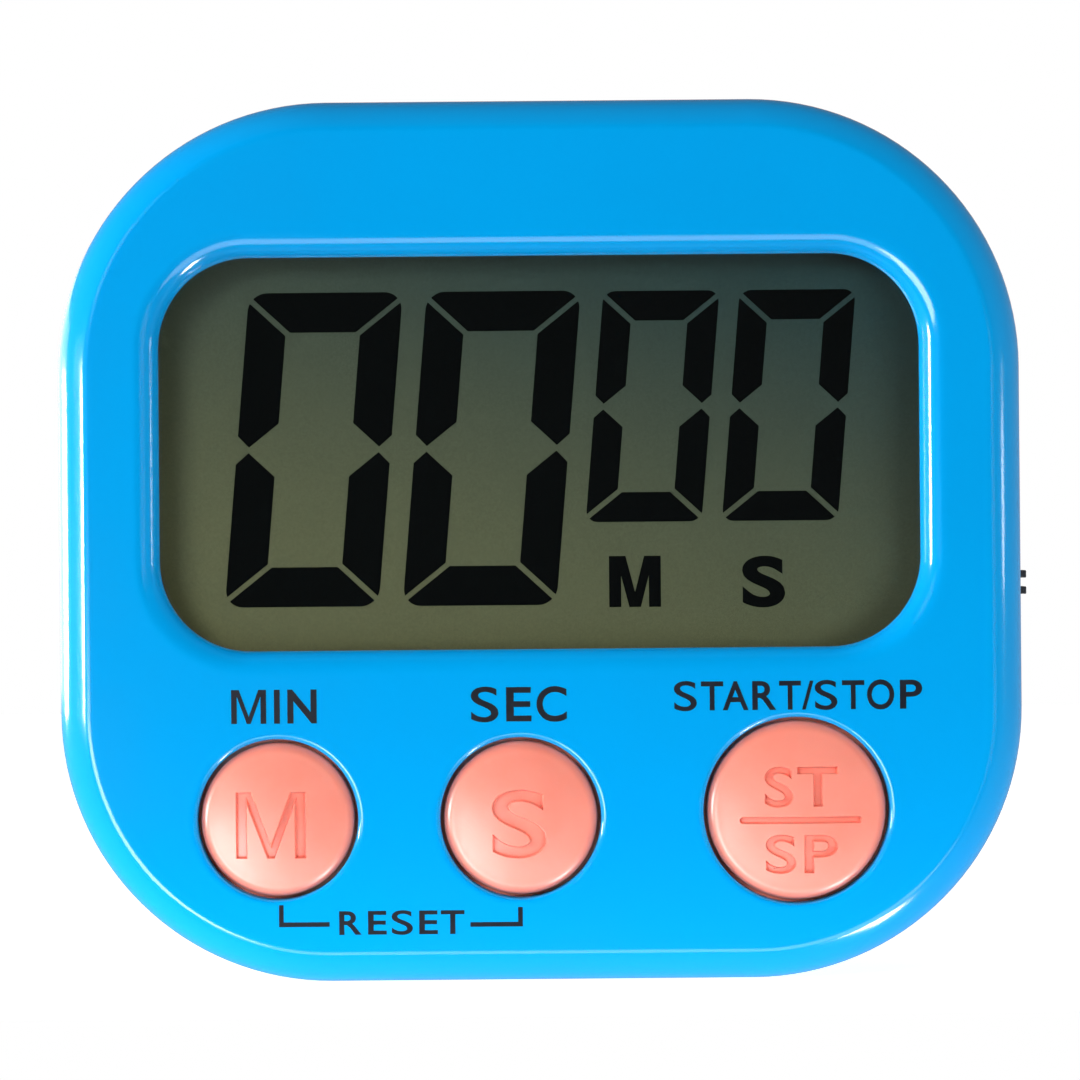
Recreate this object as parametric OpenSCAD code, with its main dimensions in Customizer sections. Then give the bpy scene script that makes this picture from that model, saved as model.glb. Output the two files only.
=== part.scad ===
// Digital kitchen timer: two shells, a segment display behind a clear window, three push buttons,
// a side power slider, a fold-out stand, a battery bay and everything that makes it run.
// The pieces are drawn lying on their backs: x right, y up from the bottom edge, z from the back
// to the front. place() then stands them up, with the front towards -Y and the bottom at Z = 0.

/* [Body] */
// Width of the body
body_w = 76; // [74:0.5:92]
// Height of the body
body_h = 69.5; // [69:0.5:84]
// Radius of the four corners
corner_r = 21.3; // [19:0.1:22]
// Radius of the rounded edge around the front face
front_edge_r = 3.5; // [2.5:0.1:4.2]
// Radius of the rounded edge around the back face
back_edge_r = 2; // [1.2:0.1:2.4]
// Thickness of the side walls and the back
wall = 1.6; // [1.4:0.1:1.9]
// Thickness of the front face
face_wall = 2; // [1.8:0.1:2.6]
// Height of the seam between the shells above the back
split_z = 8; // [7.5:0.1:9]

/* [Window] */
// Width of the window opening
window_w = 59.8; // [48:0.1:60]
// Height of the window opening
window_h = 30.9; // [24:0.1:31]
// Corner radius of the window opening
window_r = 7.1; // [5:0.1:9]
// Height of the window's centre above the bottom edge
window_y = 41.65; // [41:0.05:43]
// Radius of the rounded rim around the window
rim_r = 1.8; // [1:0.1:1.8]
// Thickness of the clear lens
lens_t = 1; // [0.8:0.1:1.5]
// How far the lens reaches past the opening on each side
lens_lap = 2.3; // [1.8:0.1:2.4]
// Thickness of the tape that holds the lens
tape_t = 0.2; // [0.1:0.05:0.3]

/* [Display] */
// Thickness of each pane of the display
glass_t = 0.7; // [0.5:0.1:1]
// Thickness of each polarising sheet
film_t = 0.2; // [0.1:0.05:0.3]
// How far the panes reach past the window on each side
glass_lap = 1.6; // [1.2:0.1:1.8]
// Width of the contact ledge along the bottom of the front pane
ledge = 2.6; // [2:0.1:2.8]
// Thickness of the bracket's floor behind the display
bracket_floor = 0.5; // [0.4:0.1:1]
// Thickness of the bracket's side walls
bracket_wall = 0.8; // [0.6:0.1:0.9]

/* [Buttons] */
// Radius of the minute and second buttons
small_button_r = 6; // [5:0.1:7.2]
// Radius of the start button
start_button_r = 7; // [6:0.1:7.5]
// Height of the minute and second buttons above the bottom edge
button_y = 13.05; // [12.5:0.05:13.5]
// Height of the start button above the bottom edge
start_y = 13.45; // [13:0.05:13.6]
// Sideways place of the minute button
minute_x = -20.7; // [-22:0.1:-20]
// Sideways place of the second button
second_x = -1.7; // [-3:0.1:-1]
// Sideways place of the start button
start_x = 19.9; // [19:0.1:22]
// Gap between a button and its hole
button_gap = 0.28; // [0.2:0.02:0.4]
// Height that the buttons stand above the face
button_proud = 0.5; // [0.2:0.1:1]
// Width of the flange that keeps a button behind the face
flange = 0.8; // [0.6:0.1:1]

/* [Power slider] */
// Height of the slider above the bottom edge when it is on
slider_y = 31.05; // [29:0.05:33]
// Length of the slider's travel from on to off
slider_travel = 2; // [1.5:0.1:2.2]
// Height of the slider's ribs outside the wall
rib_proud = 0.9; // [0.3:0.05:1.2]

/* [Circuit board] */
// Thickness of the board
board_t = 1; // [0.8:0.1:1.6]
// Gap between the board and the side walls
board_gap = 0.9; // [0.6:0.1:1.5]

/* [Battery] */
// Radius of the cell
cell_r = 5.25; // [4.3:0.05:5.3]
// Length of the cell with its nub
cell_l = 44.5; // [40:0.5:45]
// Height of the cell's axis above the bottom edge
cell_y = 12; // [11.8:0.1:12.2]
// Gap between the cell and the bay around it
cell_gap = 0.15; // [0.1:0.05:0.2]
// Length of the compressed spring
spring_l = 4.1; // [3.5:0.1:4.5]
// Thickness of the door
door_t = 1.2; // [1:0.1:1.4]
// Thickness of the bay's walls
bay_wall = 1.1; // [0.9:0.1:1.1]

/* [Stand] */
// Width of the stand
stand_w = 26; // [21:0.5:26]
// Length of the stand from its hinge
stand_l = 25.5; // [22:0.5:26]
// Height of the hinge above the bottom edge
hinge_y = 24; // [24:0.1:25]
// Radius of the hinge pins
pin_r = 0.9; // [0.75:0.05:1.1]
// Gap between the pins and their holes
pin_gap = 0.05; // [0.03:0.01:0.08]
// Angle to which the stand opens
stand_open = 115; // [95:1:115]

/* [Magnets and hanging hole] */
// Radius of the magnets
magnet_r = 6; // [5:0.1:6.5]
// Thickness of the magnets
magnet_t = 2; // [1.5:0.1:2.5]
// Radius of the hanging hole
hang_r = 2.9; // [2.6:0.1:3.2]
// Radius of the narrow slot above the hanging hole
hang_slot_r = 1.4; // [1.2:0.1:1.6]

/* [Buzzer] */
// Radius of the buzzer's brass disc
buzzer_r = 9; // [7.5:0.1:9.2]

/* [Hidden] */
$fn = 64;
cut = 0.5; // how far a cutter runs past the surface it opens

// Levels, from the back face at 0 to the front face
cell_z = door_t + cell_gap + cell_r;
bay_floor_z = cell_z + cell_r + cell_gap;
bay_floor_t = 0.8;
board_back_z = bay_floor_z + bay_floor_t + 0.2;
board_front_z = board_back_z + board_t;
reflector_z = board_front_z + bracket_floor;
rear_glass_z = reflector_z + film_t;
front_glass_z = rear_glass_z + glass_t;
polariser_z = front_glass_z + glass_t;
lens_gap = 0.5;
lens_z = polariser_z + film_t + lens_gap;
tape_z = lens_z + lens_t;
face_in_z = tape_z + tape_t;
body_d = face_in_z + face_wall;
depth_shift = (body_d + button_proud) / 2;

// Lens, display and bracket
lens_w = window_w + 2 * lens_lap;
lens_h = window_h + 2 * lens_lap;
glass_w = window_w + 2 * glass_lap;
glass_top = window_y + window_h / 2 + glass_lap;
rear_glass_bottom = window_y - window_h / 2 - 0.3;
glass_bottom = rear_glass_bottom - ledge;
glass_fit = 0.1;
zebra_w = ledge - 0.6;
zebra_y = glass_bottom + ledge / 2;

// Buttons: place, radius
button_places = [
    [minute_x, button_y, small_button_r],
    [second_x, button_y, small_button_r],
    [start_x, start_y, start_button_r]
];
flange_t = 0.8;
flange_top = face_in_z - 0.05;
post_r = 1.6;
dome_top_z = board_front_z + 2.5;
post_end_z = dome_top_z + 0.05;
cap_shell = 1.2;
cap_edge_r = 0.8;

// Fixings
case_screw_r = 1;
case_boss_r = 2.2;
case_column_r = 2.8;
case_head_r = 1.9;
case_head_h = 1.3;
case_seat_z = 3.7;
case_screw_end_z = split_z + 5;
case_screws_at = [
    for (x = [-20, 20]) [x, body_h - 6.3],
    for (x = [-1, 1]) [x * (body_w / 2 - 6), 17.5]
];
board_screw_r = 0.8;
board_boss_r = 1.7;
board_head_r = 1.6;
board_head_h = 0.9;
board_screws_at = [for (x = [-10, 10], y = [20.4, body_h - 7]) [x, y]];
screw_fit = 0.02;

// Battery bay and door
contact_t = 0.4;
tail_w = 3;
tail_t = 0.5;
tail_z = cell_z + 2.9;
tail_gap = 0.1;
bump_h = 0.5;
nub_l = 0.9;
bay_l = cell_l + spring_l + 2 * contact_t + bump_h + 0.1;
bay_h = 2 * (cell_r + cell_gap);
bay_left = -bay_l / 2;
cell_left = bay_left + contact_t + bump_h;
door_gap = 0.12;
recess_w = bay_l + 2 * bay_wall;
recess_h = bay_h + 2 * bay_wall;
recess_bottom = cell_y - recess_h / 2;
recess_top = cell_y + recess_h / 2;
pad_w = 1;
door_tab_x = 12;
door_tab_w = 4;
tab_z = wall + 0.1;
tab_t = 0.8;

// Stand
hinge_z = pin_r + 1;
knuckle_r = hinge_z - 0.2;
stand_skin = 0.1;
stand_plate_t = 1.6;
stand_rib_top = hinge_z + 1.5;
stand_depth = hinge_z + knuckle_r + 0.1;
stand_side_gap = 0.3;
pin_l = 1.6;
// where the opened stand's outer face crosses the back of the body, below the hinge
stand_reach = (hinge_z - stand_skin) * sin(stand_open)
    - (hinge_z - (hinge_z - stand_skin) * cos(stand_open)) / tan(stand_open);
recess_edge = max(stand_reach, knuckle_r) + 0.2;
cup_wall = 1.4;
cup_w = stand_w + 2 * stand_side_gap + 2 * cup_wall;
finger_r = 4;

// Magnets, hanging hole, buzzer
magnet_x = stand_w / 2 + 12;
magnet_y = 52;
magnet_fit = 0.1;
pocket_wall = 1.1;
hang_y = body_h - 8.9;
hang_top = body_h - 5.1;
hang_head_r = hang_r + 0.2;
hang_depth = 4.2;
buzzer_x = -(stand_w / 2 + 12.5);
buzzer_y = 33;
buzzer_z = wall + 1;
buzzer_t = 0.25;
ceramic_t = 0.2;
wire_r = 0.5;
wire_end_gap = 0.2;

// Power slider and its switch
slider_z = board_back_z - 1.8;
knob_h = 3.2;
knob_t = 2.2;
slider_fit = 0.15;
switch_right = body_w / 2 - 3.2;
switch_w = 4.2;
switch_h = 9;
switch_t = 3.8;
switch_wall = 0.4;
switch_y = slider_y - slider_travel / 2;

// Colours
blue = "#02A6F5";
coral = "#FB9A88";
black = "#17181A";
steel = "#B9BCBE";

module place() {
    translate([0, depth_shift, 0]) rotate([90, 0, 0]) children();
}

// Carries a profile, drawn outward from the corner's centre, around a rounded rectangle
module around(w, h, r) {
    x = w / 2 - r;
    y = h / 2 - r;
    for (c = [[x, y, 0], [-x, y, 90], [-x, -y, 180], [x, -y, 270]])
        translate([c[0], c[1], 0]) rotate([0, 0, c[2]]) rotate_extrude(angle = 90) children();
    for (side = [0, 180]) rotate([0, 0, side]) {
        translate([x, 0, 0]) rotate([90, 0, 0])
            linear_extrude(2 * y, center = true) children();
        translate([0, y, 0]) rotate([0, 0, 90]) rotate([90, 0, 0])
            linear_extrude(2 * x, center = true) children();
    }
}

module rounded_slab(w, h, r, t, edge) {
    around(w, h, r) {
        square([r - edge, t]);
        translate([r - edge, 0]) square([edge, t - edge]);
        translate([r - edge, t - edge]) intersection() {
            circle(edge);
            square(edge);
        }
    }
    translate([r - w / 2, r - h / 2, 0]) cube([w - 2 * r, h - 2 * r, t]);
}

module rounded_rect(w, h, r) {
    square([w - 2 * r, h], center = true);
    square([w, h - 2 * r], center = true);
    for (x = [-1, 1], y = [-1, 1])
        translate([x * (w / 2 - r), y * (h / 2 - r)]) circle(r);
}

// The body's rounded block, set in from its outside, from z to z + t
module body_block(inset, z, t, edge) {
    translate([0, body_h / 2, z])
        rounded_slab(body_w - 2 * inset, body_h - 2 * inset, corner_r - inset, t, edge);
}

// A box given by its low and high corners
module box(low, high) {
    translate(low) cube(high - low);
}

module rod(at, r, h) {
    translate(at) cylinder(r = r, h = h);
}

module rod_x(at, r, l) {
    translate(at) rotate([0, 90, 0]) cylinder(r = r, h = l);
}

function unit(v) = v / norm(v);

// A round tube through a list of points; aim is a direction that the path never takes
module tube(path, r, sides, aim) {
    last = len(path) - 1;
    rings = [
        for (i = [0:last])
            let (
                along = unit(path[min(i + 1, last)] - path[max(i - 1, 0)]),
                aside = unit(cross(along, aim)),
                up = cross(along, aside)
            )
            [for (k = [0:sides - 1])
                path[i] + r * (cos(360 * k / sides) * aside + sin(360 * k / sides) * up)]
    ];
    skin = [
        for (i = [0:last - 1], k = [0:sides - 1])
            let (a = i * sides + k, b = i * sides + (k + 1) % sides)
            for (face = [[a, b, b + sides], [a, b + sides, a + sides]]) face
    ];
    ends = [
        [for (k = [sides - 1:-1:0]) k],
        [for (k = [0:sides - 1]) last * sides + k]
    ];
    polyhedron([for (ring = rings, point = ring) point], concat(skin, ends), convexity = 6);
}

// A point on a smooth curve with ends a and d and handles b and c
function bend(a, b, c, d, t) =
    pow(1 - t, 3) * a + 3 * pow(1 - t, 2) * t * b + 3 * (1 - t) * t * t * c + pow(t, 3) * d;

module wire(a, b, c, d) {
    steps = 10;
    tube([for (i = [0:steps]) bend(a, b, c, d, i / steps)], wire_r, 8, [0.3, 0.9, -0.4]);
}

module screw(at, seat_z, head_r, head_h, r, end_z) {
    difference() {
        union() {
            rod([at[0], at[1], seat_z - head_h], head_r, head_h);
            rod([at[0], at[1], seat_z - 0.1], r, end_z - seat_z + 0.1);
        }
        for (turn = [0, 90])
            translate([at[0], at[1], seat_z - head_h]) rotate([0, 0, turn])
                cube([head_r * 1.2, head_r * 0.3, head_h], center = true);
    }
}

module front_shell() {
    color(blue) place() difference() {
        union() {
            difference() {
                body_block(0, split_z, body_d - split_z, front_edge_r);
                body_block(wall, split_z - cut, face_in_z - split_z + cut, front_edge_r - wall);
            }
            for (at = case_screws_at)
                rod([at[0], at[1], split_z], case_boss_r, face_in_z - split_z + cut);
            for (at = board_screws_at)
                rod([at[0], at[1], board_front_z], board_boss_r, face_in_z - board_front_z + cut);
            lens_frame();
        }
        window_cutter();
        for (b = button_places) {
            rod([b[0], b[1], face_in_z - cut], b[2] + button_gap, face_wall + 2 * cut);
            translate([b[0], b[1], body_d - 0.4])
                cylinder(r1 = b[2] + button_gap, r2 = b[2] + button_gap + 0.5, h = 0.5);
        }
        for (at = case_screws_at)
            rod([at[0], at[1], split_z - cut], case_screw_r + screw_fit,
                case_screw_end_z - split_z + 1.5);
        for (at = board_screws_at)
            rod([at[0], at[1], board_front_z - cut], board_screw_r + screw_fit, 3 + cut);
        slider_slot();
    }
}

// The slot that the slider's knob runs in, through whichever shell it meets
module slider_slot() {
    box([body_w / 2 - 3, slider_y - slider_travel - knob_h / 2 - slider_fit,
            slider_z - knob_t / 2 - slider_fit],
        [body_w / 2 + cut, slider_y + knob_h / 2 + slider_fit,
            slider_z + knob_t / 2 + slider_fit]);
}

// A low frame behind the face that the lens drops into
module lens_frame() {
    gap = 0.15;
    frame_w = 0.8;
    r = window_r + lens_lap;
    translate([0, window_y, lens_z + 0.1]) linear_extrude(face_in_z - lens_z + cut) difference() {
        rounded_rect(lens_w + 2 * (gap + frame_w), lens_h + 2 * (gap + frame_w), r + gap + frame_w);
        rounded_rect(lens_w + 2 * gap, lens_h + 2 * gap, r + gap);
    }
}

module window_cutter() {
    translate([0, window_y, face_in_z - cut])
        rounded_slab(window_w, window_h, window_r, face_wall + 2 * cut, 0.01);
    translate([0, window_y, body_d - rim_r]) around(window_w, window_h, window_r)
        difference() {
            translate([window_r - cut, 0]) square([rim_r + cut, rim_r + cut]);
            translate([window_r + rim_r, 0]) circle(rim_r);
        }
}

module rear_shell() {
    color(blue) place() difference() {
        union() {
            difference() {
                translate([0, 0, split_z]) mirror([0, 0, 1])
                    body_block(0, 0, split_z, back_edge_r);
                body_block(wall, wall, split_z, 0.4);
            }
            seam_lip();
            for (at = case_screws_at)
                rod([at[0], at[1], wall - cut], case_column_r, split_z - wall + cut);
            battery_bay();
            stand_cup();
            for (side = [-1, 1])
                rod([side * magnet_x, magnet_y, wall - cut], magnet_r + magnet_fit + pocket_wall,
                    magnet_t + pocket_wall - wall + cut);
            box([-hang_head_r - pocket_wall, hang_y - hang_head_r - pocket_wall, wall - cut],
                [hang_head_r + pocket_wall, body_h - wall + cut, hang_depth + pocket_wall]);
            buzzer_seat();
        }
        for (at = case_screws_at) {
            rod([at[0], at[1], -cut], case_head_r + 0.25, case_seat_z + cut);
            rod([at[0], at[1], -cut], case_screw_r + 0.15, split_z + 2 * cut);
        }
        battery_cutters();
        stand_cutters();
        for (side = [-1, 1])
            rod([side * magnet_x, magnet_y, -cut], magnet_r + magnet_fit, magnet_t + 0.05 + cut);
        hanging_cutters();
        sound_holes();
        slider_slot();
    }
}

// The lip inside the seam that lines the two shells up
module seam_lip() {
    gap = 0.1;
    lip_t = 0.8;
    lip_h = 1.4;
    root = corner_r - wall;
    translate([0, body_h / 2, 0]) around(body_w, body_h, corner_r) {
        translate([root - gap - lip_t, split_z - 1.6]) square([lip_t, 1.6 + lip_h]);
        translate([root - gap - lip_t, split_z - 1.6]) square([lip_t + gap + 0.4, 1.6]);
    }
}

module battery_bay() {
    box([-recess_w / 2, recess_bottom, wall - cut],
        [recess_w / 2, recess_top, bay_floor_z + bay_floor_t]);
    box([-recess_w / 2 - pad_w, recess_bottom - pad_w, wall - cut],
        [recess_w / 2 + pad_w, recess_top + 0.8, wall + 1]);
}

module battery_cutters() {
    box([-bay_l / 2, cell_y - bay_h / 2, -cut], [bay_l / 2, cell_y + bay_h / 2, bay_floor_z]);
    box([-recess_w / 2, recess_bottom, -cut], [recess_w / 2, recess_top, door_t]);
    for (side = [-1, 1]) {
        x = side * door_tab_x;
        half = door_tab_w / 2 + 0.3;
        tab_room = tab_z + tab_t + 0.6;
        box([x - half, recess_bottom, door_t - 0.1],
            [x + half, recess_bottom + bay_wall + cut, tab_room]);
        box([x - half, recess_bottom - 1.7, wall],
            [x + half, recess_bottom + cut, tab_room]);
        // slots for the contacts' tails
        middle = side * (bay_l / 2 + bay_wall / 2);
        box([middle - bay_wall, cell_y - tail_w / 2 - tail_gap, tail_z - tail_gap],
            [middle + bay_wall, cell_y + tail_w / 2 + tail_gap, tail_z + tail_t + tail_gap]);
    }
    box([-3.6, recess_top - bay_wall - 0.2, door_t - 0.1], [3.6, recess_top, door_t + 3]);
}

module stand_cup() {
    low = hinge_y - recess_edge - cup_wall;
    high = hinge_y + stand_l + stand_side_gap + cup_wall;
    box([-cup_w / 2, low, wall - cut], [cup_w / 2, high, stand_depth + cup_wall]);
    rod([0, hinge_y + stand_l + stand_side_gap, wall - cut], finger_r + cup_wall,
        stand_depth + cup_wall - wall + cut);
    for (side = [-1, 1])
        translate([side * (stand_w / 2 + stand_side_gap + pin_l / 2 + 0.6), hinge_y, 0])
            box([-pin_l / 2 - 0.6, -pin_r - 1.3, wall - cut],
                [pin_l / 2 + 0.6, pin_r + 1.3, hinge_z + pin_r + 1.3]);
}

module stand_cutters() {
    box([-stand_w / 2 - stand_side_gap, hinge_y - recess_edge, -cut],
        [stand_w / 2 + stand_side_gap, hinge_y + stand_l + stand_side_gap, stand_depth]);
    rod([0, hinge_y + stand_l + stand_side_gap, -cut], finger_r, stand_depth + cut);
    rod_x([-stand_w / 2 - pin_l - 0.2, hinge_y, hinge_z], pin_r + pin_gap,
        stand_w + 2 * pin_l + 0.4);
}

module hanging_cutters() {
    rod([0, hang_y, -cut], hang_r, wall + 2 * cut);
    rod([0, hang_top, -cut], hang_slot_r, wall + 2 * cut);
    box([-hang_slot_r, hang_y, -cut], [hang_slot_r, hang_top, wall + cut]);
    rod([0, hang_y, wall], hang_head_r, hang_depth - wall);
    rod([0, hang_top - 1.5, wall], hang_head_r, hang_depth - wall);
    box([-hang_head_r, hang_y, wall], [hang_head_r, hang_top - 1.5, hang_depth]);
}

module buzzer_seat() {
    translate([buzzer_x, buzzer_y, 0]) difference() {
        rod([0, 0, wall - cut], buzzer_r + 1.1, buzzer_z + 0.8 - wall + cut);
        rod([0, 0, buzzer_z], buzzer_r + 0.1, 2);
        rod([0, 0, wall - 2 * cut], buzzer_r - 1.4, 3);
    }
}

module sound_holes() {
    hole_r = 0.8;
    ring_r = 4;
    translate([buzzer_x, buzzer_y, 0]) {
        rod([0, 0, -cut], hole_r, wall + 2 * cut);
        for (i = [0:5])
            rod([ring_r * cos(60 * i), ring_r * sin(60 * i), -cut], hole_r, wall + 2 * cut);
    }
}

module window_lens() {
    color("white", 0.2) place() translate([0, window_y, lens_z]) linear_extrude(lens_t)
        rounded_rect(lens_w, lens_h, window_r + lens_lap);
}

module lens_tape() {
    inner = 0.5;
    outer = lens_lap - 0.2;
    color(black) place() translate([0, window_y, tape_z]) linear_extrude(tape_t) difference() {
        rounded_rect(window_w + 2 * outer, window_h + 2 * outer, window_r + outer);
        rounded_rect(window_w + 2 * inner, window_h + 2 * inner, window_r + inner);
    }
}

// One sheet of the display, from its bottom edge to the top edge of the panes
module display_sheet(bottom, inset, z, t) {
    box([-glass_w / 2 + inset, bottom, z], [glass_w / 2 - inset, glass_top - inset, z + t]);
}

module lcd_front_polariser() {
    color("#5A6052") place() display_sheet(rear_glass_bottom, 0.3, polariser_z, film_t);
}

module lcd_front_glass() {
    color("#C9D2C8") place() display_sheet(glass_bottom, 0, front_glass_z, glass_t);
}

module lcd_rear_glass() {
    color("#BFCABD") place() display_sheet(rear_glass_bottom, 0, rear_glass_z, glass_t);
}

module lcd_reflector() {
    color("#6B7159") place() display_sheet(rear_glass_bottom + 0.3, 0.3, reflector_z, film_t);
}

module lcd_bracket() {
    side = glass_w / 2 + glass_fit;
    low = glass_bottom - glass_fit;
    high = glass_top + glass_fit;
    color("#ECECE6") place() difference() {
        box([-side - bracket_wall, low - bracket_wall, board_front_z],
            [side + bracket_wall, high + bracket_wall, polariser_z + 0.1]);
        box([-side, low, reflector_z], [side, high, polariser_z + 1]);
        box([-side + 2, zebra_y - zebra_w / 2 - 0.1, board_front_z - cut],
            [side - 2, zebra_y + zebra_w / 2 + 0.1, reflector_z + cut]);
    }
}

module zebra_strip() {
    half = glass_w / 2 - 2.2;
    color("#D9B9BE") place()
        box([-half, zebra_y - zebra_w / 2, board_front_z], [half, zebra_y + zebra_w / 2, front_glass_z]);
}

module circuit_board() {
    inset = wall + board_gap;
    color("#2E7D4F") place() difference() {
        translate([0, body_h / 2, board_back_z]) linear_extrude(board_t)
            rounded_rect(body_w - 2 * inset, body_h - 2 * inset, corner_r - inset);
        for (at = case_screws_at)
            rod([at[0], at[1], board_back_z - cut], case_boss_r + 0.3, board_t + 2 * cut);
        for (at = board_screws_at)
            rod([at[0], at[1], board_back_z - cut], board_screw_r + 0.1, board_t + 2 * cut);
    }
}

module chip_blob() {
    blob_r = 6;
    blob_h = 1.3;
    ball_r = (blob_r * blob_r + blob_h * blob_h) / (2 * blob_h);
    color(black) place() intersection() {
        translate([4, 39, board_back_z - blob_h + ball_r]) sphere(r = ball_r, $fn = 200);
        rod([4, 39, board_back_z - 2 * blob_h], blob_r + 1, 2 * blob_h);
    }
}

module crystal_can() {
    can_r = 1;
    can_l = 6;
    color(steel) place() {
        rod_x([14, 33, board_back_z - can_r], can_r, can_l);
        for (y = [-0.35, 0.35])
            rod_x([12.4, 33 + y, board_back_z - 0.3], 0.15, 1.8);
    }
}

module chip_capacitors() {
    size = [1.6, 0.8, 0.8];
    color("#B79A74") place()
        for (at = [[-8, 30], [-8, 33], [16, 44], [16, 47], [20, 47], [-4, 50]])
            translate([at[0], at[1], board_back_z - size[2]]) cube(size);
}

// A button cap: a hollow domed cup with a flange behind the face and a post over its dome
module button(b) {
    r = b[2];
    top = body_d + button_proud;
    base = flange_top - flange_t;
    color(coral) place() translate([b[0], b[1], 0]) {
        difference() {
            union() {
                rotate_extrude() {
                    translate([0, base]) square([r - cap_edge_r, top - base]);
                    translate([0, base]) square([r, top - cap_edge_r - base]);
                    translate([r - cap_edge_r, top - cap_edge_r]) intersection() {
                        circle(cap_edge_r);
                        square(cap_edge_r);
                    }
                }
                rod([0, 0, base], r + flange, flange_t);
            }
            rod([0, 0, base - cut], r - cap_shell, top - cap_shell - base + cut);
        }
        rod([0, 0, post_end_z], post_r, top - cap_shell / 2 - post_end_z);
    }
}

module minute_button() {
    button(button_places[0]);
}

module second_button() {
    button(button_places[1]);
}

module start_button() {
    button(button_places[2]);
}

// A silicone dome: a foot on the board, a thin cone and a solid crown under the post
module dome(b) {
    foot_r = 4.6;
    crown_r = 2;
    skirt = 0.5;
    h = dome_top_z - board_front_z;
    color("#D8D8D4") place() translate([b[0], b[1], board_front_z]) rotate_extrude()
        polygon([
            [crown_r - skirt, h - 1.2], [0, h - 1.2], [0, h], [crown_r, h], [crown_r, h - 0.5],
            [foot_r - 0.8, skirt], [foot_r, skirt], [foot_r, 0], [foot_r - 1.2, 0]
        ]);
}

module minute_dome() {
    dome(button_places[0]);
}

module second_dome() {
    dome(button_places[1]);
}

module start_dome() {
    dome(button_places[2]);
}

module power_slider() {
    edge = body_w / 2;
    neck_t = 1.6;
    color(black) place() translate([0, slider_y, slider_z]) {
        box([edge - wall - 1.2, -knob_h / 2, -knob_t / 2], [edge - 0.2, knob_h / 2, knob_t / 2]);
        for (y = [-0.65, 0.65])
            box([edge - wall, y - 0.3, -knob_t / 2], [edge + rib_proud, y + 0.3, knob_t / 2]);
        box([switch_right - 1.5, -neck_t / 2, -neck_t / 2],
            [edge - wall - 1, neck_t / 2, neck_t / 2]);
        box([switch_right - switch_w + 0.9, -1.7, -1.2], [switch_right - 0.9, 1.7, 1.2]);
    }
}

module power_switch_can() {
    left = switch_right - switch_w;
    color(steel) place() difference() {
        box([left, switch_y - switch_h / 2, board_back_z - switch_t],
            [switch_right, switch_y + switch_h / 2, board_back_z]);
        box([left + switch_wall, switch_y - switch_h / 2 + switch_wall,
                board_back_z - switch_t + switch_wall],
            [switch_right - switch_wall, switch_y + switch_h / 2 - switch_wall,
                board_back_z + cut]);
        box([switch_right - 1, switch_y - slider_travel / 2 - 1, slider_z - 1],
            [switch_right + cut, switch_y + slider_travel / 2 + 1, slider_z + 1]);
    }
}

module buzzer_disc() {
    color("#D9B25A") place() rod([buzzer_x, buzzer_y, buzzer_z], buzzer_r, buzzer_t);
}

module buzzer_ceramic() {
    color("#E9E4D6") place() rod([buzzer_x, buzzer_y, buzzer_z + buzzer_t], buzzer_r - 2.4, ceramic_t);
}

module buzzer_wire_red() {
    a = [buzzer_x + 1, buzzer_y + 3, buzzer_z + buzzer_t + ceramic_t + wire_r];
    d = [buzzer_x - 2, buzzer_y + 8, board_back_z - wire_end_gap];
    color("#C8202A") place() wire(a, a + [0, 2, 3.5], d - [0, 1, 4], d);
}

module buzzer_wire_black() {
    a = [buzzer_x + 5.4, buzzer_y - 5.4, buzzer_z + buzzer_t + wire_r];
    d = [buzzer_x + 8, buzzer_y - 1, board_back_z - wire_end_gap];
    color(black) place() wire(a, a + [0, 1, 3.5], d - [1, 1, 4], d);
}

module battery_cell() {
    nub_r = 1.9;
    color("#3B4046") place() {
        rod_x([cell_left + nub_l, cell_y, cell_z], cell_r, cell_l - nub_l);
        rod_x([cell_left, cell_y, cell_z], nub_r, nub_l + 0.1);
    }
}

// A square contact at one end of the bay, with a tail through the end wall
module contact(side) {
    half = 4.2;
    mirror([side > 0 ? 0 : 1, 0, 0]) {
        box([bay_l / 2 - contact_t, cell_y - half, cell_z - half],
            [bay_l / 2, cell_y + half, cell_z + half]);
        box([bay_l / 2 - contact_t, cell_y - tail_w / 2, tail_z],
            [bay_l / 2 + bay_wall + 1.4, cell_y + tail_w / 2, tail_z + tail_t]);
    }
}

module battery_spring() {
    turns = 3.5;
    steps = 16;
    steel_r = 0.35;
    foot = bay_l / 2 - contact_t - steel_r;
    run = foot - steel_r - cell_left - cell_l;
    count = turns * steps;
    color(steel) place() tube([
        for (i = [0:count])
            let (t = i / count, r = 3.6 - 1.5 * t, angle = 360 * turns * t)
            [foot - run * t, cell_y + r * cos(angle), cell_z + r * sin(angle)]
    ], steel_r, 8, [1, 0, 0]);
}

module spring_plate() {
    color(steel) place() contact(1);
}

module battery_plate() {
    color(steel) place() {
        contact(-1);
        rod_x([bay_left + contact_t - 0.1, cell_y, cell_z], 2, bump_h + 0.1);
    }
}

// A wire from a contact's tail up to the board
module battery_wire(side) {
    a = [side * (bay_l / 2 + bay_wall + 1), cell_y, tail_z + tail_t + wire_r];
    d = [side * (bay_l / 2 + bay_wall + 3.4), cell_y, board_back_z - wire_end_gap];
    wire(a, a + [side * 1.2, 0, 0], d - [0, 0, 1], d);
}

module battery_wire_red() {
    color("#C8202A") place() battery_wire(-1);
}

module battery_wire_black() {
    color(black) place() battery_wire(1);
}

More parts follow.
